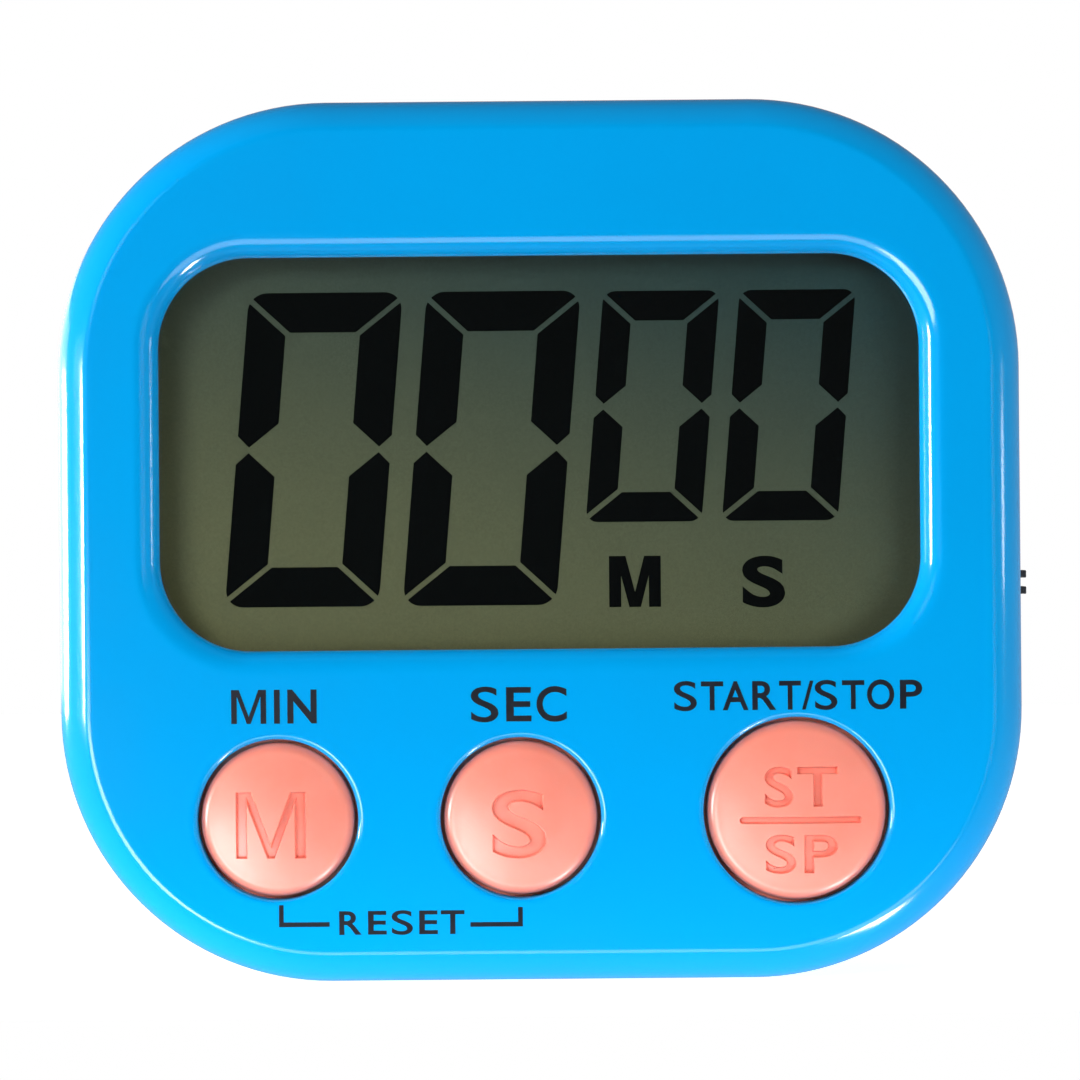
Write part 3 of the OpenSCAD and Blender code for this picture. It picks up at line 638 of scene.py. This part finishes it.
def slab(bm, low, high, edge=0.0, radius=0.0):
    """A plate between two corners, its corners rounded by radius and its edges by edge."""
    face = rounded_face(
        bm, high[0] - low[0], high[1] - low[1], radius,
        ((low[0] + high[0]) / 2, (low[1] + high[1]) / 2, low[2]), 8,
    )
    made = bmesh.ops.extrude_face_region(bm, geom=[face])["geom"]
    verts = [g for g in made if isinstance(g, bmesh.types.BMVert)]
    bmesh.ops.translate(bm, vec=(0, 0, high[2] - low[2]), verts=verts)
    if edge:
        bmesh.ops.recalc_face_normals(bm, faces=bm.faces)
        sharp = [e for e in bm.edges if e.is_manifold and e.calc_face_angle() > math.radians(40)]
        bmesh.ops.bevel(
            bm, geom=sharp, offset=edge, segments=3, profile=0.5, affect="EDGES", material=-1,
            clamp_overlap=True,
        )


def cad_copy(node, body, material, edge=0.12, crisp=32, sharp=28):
    """A piece from a copy of a CAD node: triangles merged, flats joined up and its outer edges rounded
    by edge millimetres."""
    bm = new_bmesh(NODES[node].data, 1000)
    bmesh.ops.remove_doubles(bm, verts=bm.verts, dist=0.002)
    bmesh.ops.dissolve_limit(bm, angle_limit=math.radians(0.6), verts=bm.verts, edges=bm.edges)
    if edge:
        picked = [
            e for e in bm.edges
            if e.is_manifold and e.is_convex and e.calc_face_angle() > math.radians(sharp)
            and e.calc_length() > edge * 0.8
        ]
        bmesh.ops.bevel(
            bm, geom=picked, offset=edge, segments=2, profile=0.5, affect="EDGES", material=-1,
            clamp_overlap=True,
        )
    place = Matrix.Scale(0.001, 4)
    return piece(node + "_piece", bm, place, [material], body, [node], crisp, bool(edge))


# ---------------------------------------------------------------- pieces


class TIMER_OT_front_shell(bpy.types.Operator):
    """Build the blue front shell with its window rim, button holes and slider slot"""

    bl_idname = "timer.front_shell"
    bl_label = "Front shell"

    def execute(self, context):
        s = sizes()
        wide, high = mm(SHELL_HIGH.x - SHELL_LOW.x), mm(SHELL_HIGH.z - SHELL_LOW.z)
        seam = mm(SHELL_LOW.y - SEAM)
        corner, wall, floor = mm(s.corner), mm(s.wall), -mm(s.face_wall)
        up = high / 2
        bm = bmesh.new()

        # outside: a wall from the seam, a wide roll and a tight soft crease on to the face
        crease = mm(s.crease)
        wide_roll, turn = 4.8, 32  # radius of the wide roll, and the angle at which the crease takes over
        drop = wide_roll * math.cos(math.radians(turn)) + crease * (1 - math.cos(math.radians(turn)))
        face = rounded_face(bm, wide, high, corner, (0, up, seam), 32)
        face = lift(bm, face, (0, 0, -drop - seam))
        roll(bm, face, wide_roll, 90, turn, 14)
        roll(bm, face, crease, turn, 0, 7)
        inset(bm, face, 0.35)
        top = open_up(bm, face)
        seam_out = [e for e in bm.edges if e.is_boundary and abs(e.verts[0].co.z - seam) < 1e-4
                    and abs(e.verts[1].co.z - seam) < 1e-4]

        # window and button holes
        rim, band = mm(s.window_rim), 0.3
        grow = 2 * (rim + band)
        window = rounded_face(
            bm, mm(s.window_wide) + grow, mm(s.window_high) + grow, mm(s.window_corner) + grow / 2,
            (0, mm(s.window_mid), 0), 20,
        )
        window_top, window_low = opening(bm, window, band, rim, floor)
        tops, lows = list(top) + list(window_top), list(window_low)
        for x, y, radius, _, _ in button_places():
            hole = radius + mm(s.button_gap)
            ring = round_face(bm, hole + 0.4 + 0.25, (x, y, 0), 96)
            a, b = opening(bm, ring, 0.25, 0.4, floor)
            tops += a
            lows += b
        bmesh.ops.triangle_fill(bm, use_beauty=True, edges=tops, normal=(0, 0, 1))

        # inside wall, behind the face
        inner = rounded_face(bm, wide - 2 * wall, high - 2 * wall, corner - wall, (0, up, floor), 32)
        inner_top = open_up(bm, inner)
        bmesh.ops.triangle_fill(bm, use_beauty=True, edges=inner_top + lows, normal=(0, 0, -1))
        seam_in = extrude_loop(bm, inner_top, (0, 0, seam - floor))
        bmesh.ops.bridge_loops(bm, edges=seam_out + seam_in)
        settle(bm)
        edge = [e for e in bm.edges if abs(e.verts[0].co.z - seam) < 1e-4
                and abs(e.verts[1].co.z - seam) < 1e-4 and on_outline(e, wide, high, corner)]
        bmesh.ops.bevel(bm, geom=edge, offset=0.14, segments=2, profile=0.5, affect="EDGES", material=-1)
        place = facing_front(SHELL_LOW.y)
        obj = piece(
            "front_shell_moulding", bm, place, ["blue_abs"], "case", ["front_shell"], 30
        )
        cut_slot(obj)
        return {"FINISHED"}


def on_outline(edge, wide, high, corner):
    """True if an edge lies on the body's outline."""
    for v in edge.verts:
        x = max(0.0, abs(v.co.x) - (wide / 2 - corner))
        y = max(0.0, abs(v.co.y - high / 2) - (high / 2 - corner))
        if math.hypot(x, y) < corner - 0.02:
            return False
    return True


def cut_slot(shell):
    """Cuts the slider's slot through the right-hand wall with a Boolean, and applies it."""
    low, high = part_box("power_slider")
    travel = 0.002  # of the slider, in metres
    bm = bmesh.new()
    bmesh.ops.create_cube(bm, size=1.0)
    wide = Vector((0.006, 0.0026, 0.0036 + travel))  # clears the knob by 0.2 mm and passes the wall
    middle = Vector((SHELL_HIGH.x, (low.y + high.y) / 2, (low.z + high.z) / 2 - travel / 2))
    bmesh.ops.scale(bm, vec=wide, verts=bm.verts)
    bmesh.ops.translate(bm, vec=middle, verts=bm.verts)
    bmesh.ops.bevel(
        bm, geom=[e for e in bm.edges if abs((e.verts[0].co - e.verts[1].co).x) > 0.004], offset=0.0004,
        segments=4, profile=0.5, affect="EDGES", material=-1,
    )
    mesh = bpy.data.meshes.new("slot_cutter")
    bm.to_mesh(mesh)
    bm.free()
    cutter = bpy.data.objects.new("slot_cutter", mesh)
    bpy.context.scene.collection.objects.link(cutter)
    cut = shell.modifiers.new("slot", "BOOLEAN")
    cut.object, cut.operation, cut.solver = cutter, "DIFFERENCE", "EXACT"
    bpy.context.view_layer.update()
    done = bpy.data.meshes.new_from_object(shell.evaluated_get(bpy.context.evaluated_depsgraph_get()))
    shell.modifiers.clear()
    shell.data = done
    bpy.data.objects.remove(cutter)
    done.polygons.foreach_set("use_smooth", [True] * len(done.polygons))
    done.set_sharp_from_angle(angle=math.radians(30))


def button_places():
    """Each button: x, y and radius in millimetres, and its node and body."""
    flange = 0.8  # width of the lip that keeps a cap behind the face
    places = []
    for node in ("minute_button", "second_button", "start_button"):
        low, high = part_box(node)
        middle = (low + high) / 2
        places.append((mm(middle.x), mm(middle.z), mm(high.x - low.x) / 2 - flange, node, node + "_body"))
    return places


class TIMER_OT_buttons(bpy.types.Operator):
    """Build the three coral push buttons with their pressed-in letters"""

    bl_idname = "timer.buttons"
    bl_label = "Push buttons"

    def execute(self, context):
        letters = {
            "minute_button": [("M", 5.5, 5.2, (-0.5, -0.4), 0.9)],
            "second_button": [("S", 4.3, 5.4, (-0.1, -0.45), 0.022)],
            "start_button": [("ST", 5.8, 3.2, (0.35, 1.85), 0.022), ("SP", 5.7, 3.1, (0.35, -3.4), 0.022)],
        }
        for x, y, radius, node, body in button_places():
            self.cap(x, y, radius, node, body, letters[node])
        return {"FINISHED"}

    def cap(self, x, y, radius, node, body, letters):
        s = sizes()
        edge, dome, deep = mm(s.button_edge), mm(s.button_dome), mm(s.letter_deep)
        low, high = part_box(node)
        bm = bmesh.new()
        for text, wide, tall, at, bold in letters:
            take_in(bm, letter_m(wide, tall, bold, at) if text == "M" else
                    lettering(text, wide, tall, at, bold, 1.1))
        if node == "start_button":
            bar = rounded_face(bm, 9.6, 0.55, 0.27, (0.3, -0.75, 0), 6)
            bar.normal_update()
        bmesh.ops.recalc_face_normals(bm, faces=bm.faces)
        for f in bm.faces:
            f.normal_update()
            if f.normal.z < 0:
                f.normal_flip()
        # slanted walls, as the mould's draft leaves them, down to the letters' floors
        bmesh.ops.inset_region(
            bm, faces=list(bm.faces), thickness=0.13, depth=-deep, use_even_offset=True, use_boundary=True
        )
        outline = [e for e in bm.edges if e.is_boundary]
        rim = bmesh.ops.create_circle(bm, cap_ends=False, segments=120, radius=radius - edge)["verts"]
        ring = list({e for v in rim for e in v.link_edges})
        bmesh.ops.triangle_fill(bm, use_beauty=True, edges=outline + ring, normal=(0, 0, 1))
        span = radius - edge
        for axis in ((1, 0, 0), (0, 1, 0)):
            count = int(2 * span / 0.55)
            for i in range(1, count):
                at = -span + 2 * span * i / count + 0.0137
                bmesh.ops.bisect_plane(
                    bm, geom=list(bm.verts) + list(bm.edges) + list(bm.faces), dist=0.0001,
                    plane_co=[at * a for a in axis], plane_no=axis,
                )
        bmesh.ops.remove_doubles(bm, verts=bm.verts, dist=0.004)
        for v in bm.verts:
            v.co.z -= dome * (v.co.x ** 2 + v.co.y ** 2) / radius ** 2
        loop = [e for e in bm.edges if e.is_boundary
                and min(math.hypot(v.co.x, v.co.y) for v in e.verts) > span * 0.98]
        drop = dome * (span / radius) ** 2
        now, level = span, -drop
        for i in range(8):
            t = math.radians(90 * (i + 1) / 8)
            to, z = span + edge * math.sin(t), -drop - edge * (1 - math.cos(t))
            loop = extrude_loop(bm, loop, (0, 0, z - level), to / now)
            now, level = to, z
        # side, flange under the face, and the hollow underside round the post
        top = mm(SHELL_LOW.y - low.y)
        floor = -mm(sizes().face_wall) - top
        bottom = -mm(high.y - low.y)
        post = 1.5  # radius of the post that presses the dome
        for to, z in (
            (radius, floor - 0.05), (radius + 0.8, floor - 0.05), (radius + 0.8, floor - 0.85),
            (radius - 1.2, floor - 0.85), (radius - 1.2, -dome - 1.4), (post, -dome - 1.4), (post, bottom),
        ):
            loop = extrude_loop(bm, loop, (0, 0, z - level), to / now)
            now, level = to, z
        bmesh.ops.edgeloop_fill(bm, edges=loop)
        settle(bm)
        bmesh.ops.translate(bm, vec=(x, y, 0), verts=bm.verts)
        piece(node + "_cap", bm, facing_front(low.y), ["coral_abs"], body, [node], 34)


class TIMER_OT_window(bpy.types.Operator):
    """Build the clear lens, its tape and the display's glass"""

    bl_idname = "timer.window"
    bl_label = "Window and display"

    def execute(self, context):
        s = sizes()
        low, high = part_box("window_lens")
        bm = bmesh.new()
        self.plate(bm, low, high, mm(s.window_corner) + 2.3, 0.2)
        piece("window_lens_sheet", bm, Matrix.Identity(4), ["clear_acrylic"], "case",
              ["window_lens"], weighted=True)
        # the polariser film is bonded to the front glass, and the segments lie in the gap behind them
        low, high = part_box("lcd_front_glass")
        low.y, high.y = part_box("lcd_front_polariser")[0].y, high.y - 0.00005
        self.layer("lcd_front_laminate", low, high, "polariser", "display_glass",
                   ["lcd_front_polariser", "lcd_front_glass"])
        for node, slot in (("lcd_rear_glass", "display_glass"), ("lcd_reflector", "reflector_film")):
            low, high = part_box(node)
            self.layer(node + "_plate", low, high, "display_ground", slot, [node])
        cad_copy("lens_tape", "case", "tape", 0)
        return {"FINISHED"}

    def layer(self, name, low, high, material, slot, nodes):
        """One square-cornered layer of the display."""
        bm = bmesh.new()
        self.plate(bm, low, high, 0.15, 0.04)
        piece(name, bm, Matrix.Identity(4), [material], "case", nodes, weighted=True)

    def plate(self, bm, low, high, radius, edge):
        """A plate that fills a box in the frame, standing upright."""
        depth = mm(high.y - low.y)
        slab(bm, (mm(low.x), mm(low.z), 0), (mm(high.x), mm(high.z), depth), edge, radius)
        bmesh.ops.transform(bm, matrix=facing_front(high.y), verts=bm.verts)
        bmesh.ops.recalc_face_normals(bm, faces=bm.faces)


class TIMER_OT_segments(bpy.types.Operator):
    """Build the display's dark segments and its two letters"""

    bl_idname = "timer.segments"
    bl_label = "Display segments"

    def execute(self, context):
        s = sizes()
        up = mm(SHELL_HIGH.z - SHELL_LOW.z) / 2
        place = facing_front(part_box("lcd_rear_glass")[0].y - 0.00001)
        thick = mm(s.segment)
        slant = math.tan(math.radians(4.9))
        digits = (
            ("minutes_tens", -16.8, 19.75, 12.2, 24.9, 3.15, 1.45),
            ("minutes_units", -2.7, 19.75, 12.2, 24.9, 3.15, 1.45),
            ("seconds_tens", 9.8, 19.68, 9.2, 18.3, 2.35, 0.95),
            ("seconds_units", 20.6, 19.68, 9.2, 18.3, 2.35, 0.95),
        )
        for name, x, top, wide, high, bar, corner in digits:
            bm = self.zero(wide, high, bar, corner)
            lean = Matrix.Identity(4)
            lean[0][1] = slant
            bmesh.ops.transform(bm, matrix=lean, verts=bm.verts)
            middle = x - slant * high / 2
            bmesh.ops.translate(bm, vec=(middle, up + top - high / 2, 0), verts=bm.verts)
            thicken(bm, thick)
            piece("segments_" + name, bm, place, ["segment"], "case")
        for name, text, at, wide, high in (
            ("minutes", "M", (7.5, -3.35), 4.1, 4.05), ("seconds", "S", (17.7, -3.45), 3.4, 4.1),
        ):
            at = (at[0], up + at[1])
            bm = letter_m(wide, high, 0.95, at) if text == "M" else lettering(text, wide, high, at, 0.035)
            thicken(bm, thick)
            piece("label_" + name, bm, place, ["segment"], "case")
        return {"FINISHED"}

    def zero(self, wide, high, bar, corner):
        """The six lit bars of a nought: a ring, cut at the corners by mitred gaps and at the sides
        into points."""
        bm = bmesh.new()
        outer = open_up(bm, rounded_face(bm, wide, high, corner, (0, 0, 0), 8))
        inner = open_up(bm, rounded_face(bm, wide - 2 * bar, high - 2 * bar, 0.12, (0, 0, 0), 3))
        bmesh.ops.triangle_fill(bm, use_beauty=True, edges=outer + inner, normal=(0, 0, 1))
        self.cut(bm, list(bm.faces), (0, 0), (1, 0, 0))
        for level in (-0.1, 0.1):
            self.cut(bm, list(bm.faces), (0, level), (0, 1, 0))
        middle = [f for f in bm.faces if abs(f.calc_center_median().y) < 0.1]
        bmesh.ops.delete(bm, geom=middle, context="FACES")
        gap, tip = 0.42, 0.3  # width of the mitred gap, and where a point's tip lies across its bar
        xo, xi = wide / 2, wide / 2 - bar
        for sx in (-1, 1):
            for sy in (-1, 1):
                def quarter():
                    return [f for f in bm.faces if f.calc_center_median().x * sx > 0
                            and f.calc_center_median().y * sy > 0]
                # the point at mid height, its tip near the outer side
                point = (sx * (xo - tip * bar), sy * 0.22)
                for toward in ((sx * xi, sy * (0.22 + (1 - tip) * bar * 0.86)),
                               (sx * xo, sy * (0.22 + tip * bar * 0.95))):
                    along = Vector((toward[0] - point[0], toward[1] - point[1], 0)).normalized()
                    away = Vector((-along.y, along.x, 0))
                    if away.y * sy > 0:
                        away = -away
                    self.cut(bm, quarter(), point, away, True)
                # the mitred gap across the corner
                direction = Vector((sx * 0.76, sy * 0.65, 0)).normalized()
                across = Vector((-direction.y, direction.x, 0))
                at = Vector((sx * (xi + 0.1), sy * (high / 2 - bar + 0.1), 0))
                for side in (-1, 1):
                    self.cut(bm, quarter(), at + across * side * gap / 2, across)
                gone = [f for f in quarter()
                        if abs((f.calc_center_median() - at).dot(across)) < gap / 2
                        and f.calc_center_median().y * sy > high / 2 - bar * 1.6]
                bmesh.ops.delete(bm, geom=gone, context="FACES")
        bmesh.ops.dissolve_limit(bm, angle_limit=0.01, verts=bm.verts, edges=bm.edges)
        for f in bm.faces:
            f.normal_update()
            if f.normal.z < 0:
                f.normal_flip()
        return bm

    def cut(self, bm, faces, at, normal, clear=False):
        """Cuts faces by an upright plane and, with clear, takes away what lies beyond it."""
        geom = list({v for f in faces for v in f.verts} | {e for f in faces for e in f.edges}) + faces
        bmesh.ops.bisect_plane(
            bm, geom=geom, dist=0.0001, plane_co=(at[0], at[1], 0), plane_no=normal, clear_outer=clear
        )


class TIMER_OT_legends(bpy.types.Operator):
    """Build the printed words and the bracket round RESET"""

    bl_idname = "timer.legends"
    bl_label = "Printed legends"

    def execute(self, context):
        s = sizes()
        up = mm(SHELL_HIGH.z - SHELL_LOW.z) / 2
        place = facing_front(SHELL_LOW.y + 0.000004)
        ink = mm(s.ink)
        for name, middle, high, letters in (
            ("minutes", up - 12.85, 2.65, (
                ("M", -24.25, -21.52), ("I", -20.90, -20.45), ("N", -19.86, -17.57),
            )),
            ("seconds", up - 12.82, 2.68, (("S", -5.52, -3.37), ("E", -2.76, -0.79), ("C", -0.39, 1.98))),
            ("start_stop", up - 12.3, 2.26, (
                ("S", 10.36, 12.14), ("T", 12.47, 14.21), ("A", 14.17, 16.18), ("R", 16.48, 18.35),
                ("T", 18.59, 20.28), ("/", 20.36, 21.27), ("S", 21.37, 23.13), ("T", 23.50, 25.24),
                ("O", 25.45, 27.57), ("P", 28.02, 29.76),
            )),
            ("reset", up - 29.8, 1.85, (
                ("R", -15.95, -14.20), ("E", -13.70, -12.25), ("S", -11.85, -10.20), ("E", -9.70, -8.25),
                ("T", -8.00, -6.16),
            )),
        ):
            bm = word(letters, middle, high, 0.010)
            thicken(bm, ink)
            piece("legend_" + name, bm, place, ["ink"], "case")
        bm = bmesh.new()
        line = 0.36
        for x, y, reach, rise in ((-20.65, -29.9, 3.95, 1.5), (-1.6, -30.0, -4.1, 1.3)):
            rounded_face(bm, abs(reach), line, 0.03, (x + reach / 2, up + y, 0), 2)
            rounded_face(bm, line, rise - line * 0.4, 0.03,
                         (x + math.copysign(line / 2, reach), up + y + rise / 2 + line * 0.3, 0), 2)
        thicken(bm, ink)
        piece("legend_bracket", bm, place, ["ink"], "case")
        return {"FINISHED"}


class TIMER_OT_slider(bpy.types.Operator):
    """Build the black power slider at the right-hand side"""

    bl_idname = "timer.slider"
    bl_label = "Power slider"

    def execute(self, context):
        cad_copy("power_slider", "power_slider_body", "black_abs", 0.07)
        cad_copy("power_switch_can", "case", "zinc_steel", 0.1)
        return {"FINISHED"}


class TIMER_OT_back(bpy.types.Operator):
    """Build the rear shell, the fold-out stand, the battery door, the magnets and the case screws"""

    bl_idname = "timer.back"
    bl_label = "Back"

    def execute(self, context):
        cad_copy("rear_shell", "case", "blue_abs", 0.12, 30, 35)
        cad_copy("stand", "stand_body", "blue_abs", 0.15)
        cad_copy("battery_door", "battery_door_body", "blue_abs", 0.12)
        cad_copy("magnets", "case", "magnet", 0.2)
        cad_copy("case_screws", "case", "zinc_steel", 0.06)
        return {"FINISHED"}


class TIMER_OT_board(bpy.types.Operator):
    """Build the circuit board and everything on it"""

    bl_idname = "timer.board"
    bl_label = "Circuit board"

    def execute(self, context):
        for node, slot, material, edge in (
            ("circuit_board", "board_laminate", "laminate", 0.05),
            ("lcd_bracket", "white_plastic", "white_abs", 0.1),
            ("zebra_strip", "silicone", "zebra", 0.05),
            ("chip_blob", "black_epoxy", "epoxy", 0),
            ("crystal_can", "steel", "zinc_steel", 0),
            ("chip_capacitors", "capacitor_ceramic", "capacitor", 0.05),
            ("board_screws", "steel", "zinc_steel", 0.05),
        ):
            cad_copy(node, "case", material, edge)
        for part in ("minute", "second", "start"):
            low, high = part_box(part + "_dome")
            obj = cad_copy(part + "_dome", "case", "silicone", 0)
            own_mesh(obj)
        return {"FINISHED"}


class TIMER_OT_power(bpy.types.Operator):
    """Build the cell, its contacts, the buzzer and the wires"""

    bl_idname = "timer.power"
    bl_label = "Battery and buzzer"

    def execute(self, context):
        self.cell()
        for node, slot, material, edge, crisp in (
            ("battery_spring", "spring_steel", "spring_steel", 0, 60),
            ("spring_plate", "spring_steel", "spring_steel", 0.04, 32),
            ("battery_plate", "spring_steel", "spring_steel", 0, 32),
            ("battery_wire_red", "red_insulation", "red_wire", 0, 60),
            ("battery_wire_black", "black_insulation", "black_wire", 0, 60),
            ("buzzer_wire_red", "red_insulation", "red_wire", 0, 60),
            ("buzzer_wire_black", "black_insulation", "black_wire", 0, 60),
            ("buzzer_disc", "brass_sheet", "brass", 0.03, 32),
            ("buzzer_ceramic", "buzzer_ceramic", "piezo", 0.03, 32),
        ):
            cad_copy(node, "case", material, edge, crisp)
        return {"FINISHED"}

    def cell(self):
        """The cell by turning its profile round: plus cap, crimped shoulder, film and dished minus end."""
        low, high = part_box("battery_cell")
        left, right, radius = mm(low.x), mm(high.x), mm(high.z - low.z) / 2
        profile = (
            (left, 0.0), (left, 1.6), (left + 0.15, 1.85), (left + 0.75, 1.95), (left + 0.85, 2.4),
            (left + 0.8, 4.3), (left + 0.85, radius - 0.5), (left + 1.0, radius - 0.15), (left + 1.3, radius),
            (right - 0.5, radius), (right - 0.15, radius - 0.12), (right - 0.02, radius - 0.5),
            (right - 0.05, radius - 0.9), (right - 0.2, radius - 1.2), (right, radius - 1.6), (right, 0.0),
        )
        bm = bmesh.new()
        verts = [bm.verts.new((x, 0, r)) for x, r in profile]
        edges = [bm.edges.new(pair) for pair in zip(verts, verts[1:])]
        bmesh.ops.spin(
            bm, geom=verts + edges, cent=(0, 0, 0), axis=(1, 0, 0), angle=2 * PI, steps=64, use_merge=True
        )
        settle(bm)
        for f in bm.faces:
            c = f.calc_center_median()
            on_film = math.hypot(c.y, c.z) > radius - 0.65 and left + 0.8 < c.x < right - 0.05
            f.material_index = 0 if on_film else 1
        middle = (low + high) / 2
        place = Matrix.Translation((0, middle.y, middle.z)) @ Matrix.Scale(0.001, 4)
        piece("battery_cell_jacketed", bm, place, ["jacket", "zinc_steel"], "case",
              ["battery_cell"])


class TIMER_OT_stage(bpy.types.Operator):
    """Build the pale floor, the soft lights, the world and the camera"""

    bl_idname = "timer.stage"
    bl_label = "Stage"

    def execute(self, context):
        self.floor()
        self.world(context.scene)
        self.lights()
        self.camera(context.scene)
        context.scene.view_settings.view_transform = "Standard"
        return {"FINISHED"}

    def floor(self):
        bm = bmesh.new()
        bmesh.ops.create_grid(bm, x_segments=1, y_segments=1, size=0.5)
        bmesh.ops.scale(bm, vec=(1.2, 0.53, 1), verts=bm.verts)
        bmesh.ops.translate(bm, vec=(0, 0.235, 0), verts=bm.verts)
        mesh = bpy.data.meshes.new("floor")
        bm.to_mesh(mesh)
        bm.free()
        mesh.materials.append(
            # matt white card: only the faintest mottling
            finish(
                "floor_white_card", ("#F6F6F6", "#F2F2F2"), (0.7, 0.8), patch=40, grain=1.0, relief=0.002,
                sockets={"Specular IOR Level": 0.2, "Emission Color": (1, 1, 1, 1),
                         "Emission Strength": 0.9},
            )
        )
        floor = bpy.data.objects.new("floor", mesh)
        bpy.context.scene.collection.objects.link(floor)
        floor.visible_glossy = floor.visible_shadow = False

    def world(self, scene):
        """White all round but dim on the side that the face looks at, as a dark room is behind the viewer."""
        world = bpy.data.worlds.new("studio")
        scene.world = world
        world.use_nodes = True
        tree = world.node_tree
        tree.nodes.clear()
        place = add(tree, "ShaderNodeTexCoord")
        split = add(tree, "ShaderNodeSeparateXYZ", links={"Vector": (place, "Generated")})
        behind = add(
            tree, "ShaderNodeMapRange", {"interpolation_type": "SMOOTHSTEP"},
            {"From Min": -0.85, "From Max": 0.1, "To Min": 0.03, "To Max": 0.36}, {"Value": (split, "Y")},
        )
        below = add(
            tree, "ShaderNodeMapRange", {"interpolation_type": "SMOOTHSTEP"},
            {"From Min": -0.2, "From Max": 0.9, "To Min": 1.0, "To Max": 0.25}, {"Value": (split, "Z")},
        )
        level = add(
            tree, "ShaderNodeMath", {"operation": "MULTIPLY"},
            links={0: (behind, "Result"), 1: (below, "Result")},
        )
        room = add(
            tree, "ShaderNodeBackground", values={"Color": (1, 1, 1, 1)}, links={"Strength": (level, "Value")}
        )
        backdrop = add(tree, "ShaderNodeBackground", values={"Color": (1, 1, 1, 1), "Strength": 1.0})
        seen = add(tree, "ShaderNodeLightPath")
        mixed = add(
            tree, "ShaderNodeMixShader",
            links={0: (seen, "Is Camera Ray"), 1: (room, "Background"), 2: (backdrop, "Background")},
        )
        add(tree, "ShaderNodeOutputWorld", links={"Surface": (mixed, "Shader")})

    def lights(self):
        aim = Vector((0, 0, (SHELL_LOW.z + SHELL_HIGH.z) / 2))
        # soft lights only light, and shiny ones are only mirrored; power is in watts
        for name, at, wide, high, power, soft, shiny in (
            ("left_strip", (-0.40, -0.16, 0.035), 0.07, 0.06, 2.2, False, True),
            ("rear_strip", (-0.36, 0.21, 0.035), 0.10, 0.06, 1.3, False, True),
            ("left_glow", (-0.30, 0.30, 0.07), 0.35, 0.13, 0.35, False, True),
            ("left_box", (-0.40, -0.06, 0.05), 0.10, 0.10, 1.5, True, False),
            ("right_strip", (0.45, -0.04, 0.043), 0.04, 0.035, 0.07, False, True),
            ("corner_strip", (0.25, -0.18, -0.38), 0.16, 0.07, 2.4, False, True),
            ("key_box", (-0.30, -0.45, 0.20), 0.20, 0.16, 1.8, True, False),
            ("sheen_box", (-0.42, -0.80, -0.26), 0.44, 0.50, 11.5, False, True),
            ("low_box", (0.05, -0.60, -0.40), 0.80, 0.34, 3.8, False, True),
            ("fill_box", (0.38, -0.50, 0.0), 0.30, 0.20, 1.75, True, False),
            ("top_box", (0.0, 0.15, 0.80), 1.0, 0.8, 0.7, True, False),
        ):
            data = bpy.data.lights.new(name, "AREA")
            data.shape, data.size, data.size_y, data.energy = "RECTANGLE", wide, high, power
            obj = bpy.data.objects.new(name, data)
            bpy.context.scene.collection.objects.link(obj)
            obj.location = at
            obj.rotation_euler = (aim - Vector(at)).to_track_quat("-Z", "Y").to_euler()
            obj.visible_diffuse, obj.visible_glossy = soft, shiny

    def camera(self, scene):
        data = bpy.data.cameras.new("camera")
        data.lens, data.sensor_width = 135, 36
        data.clip_start, data.clip_end = 0.01, 10
        cam = bpy.data.objects.new("camera", data)
        scene.collection.objects.link(cam)
        view = 0.0844  # width seen at the face
        back = view * data.lens / data.sensor_width
        cam.location = (0, SHELL_LOW.y - back, (SHELL_LOW.z + SHELL_HIGH.z) / 2)
        roll = Matrix.Rotation(math.radians(-0.5), 3, "Z")
        cam.rotation_euler = (Matrix.Rotation(PI / 2, 3, "X") @ roll).to_euler()
        scene.camera = cam


# ---------------------------------------------------------------- add-on

OPERATORS = (
    TIMER_OT_front_shell, TIMER_OT_buttons, TIMER_OT_window, TIMER_OT_segments, TIMER_OT_legends,
    TIMER_OT_slider, TIMER_OT_back, TIMER_OT_board, TIMER_OT_power, TIMER_OT_stage,
)


class TIMER_PT_panel(bpy.types.Panel):
    """Lists the timer's pieces and its stage"""

    bl_idname = "TIMER_PT_panel"
    bl_label = "Kitchen timer"
    bl_space_type = "VIEW_3D"
    bl_region_type = "UI"
    bl_category = "Timer"

    def draw(self, context):
        for group in (context.scene.timer_sizes, context.scene.timer_colours):
            box = self.layout.box()
            for key in group.__annotations__:
                box.prop(group, key)
        for operator in OPERATORS:
            self.layout.operator(operator.bl_idname)


CLASSES = (TimerSizes, TimerColours) + OPERATORS + (TIMER_PT_panel,)


def register():
    for cls in CLASSES:
        bpy.utils.register_class(cls)
    bpy.types.Scene.timer_sizes = bpy.props.PointerProperty(type=TimerSizes)
    bpy.types.Scene.timer_colours = bpy.props.PointerProperty(type=TimerColours)


def unregister():
    del bpy.types.Scene.timer_colours
    del bpy.types.Scene.timer_sizes
    for cls in reversed(CLASSES):
        bpy.utils.unregister_class(cls)


def main():
    register()
    MATERIALS.update(make_materials())
    for operator in OPERATORS:
        group, name = operator.bl_idname.split(".")
        getattr(getattr(bpy.ops, group), name)()


if __name__ == "__main__":
    main()
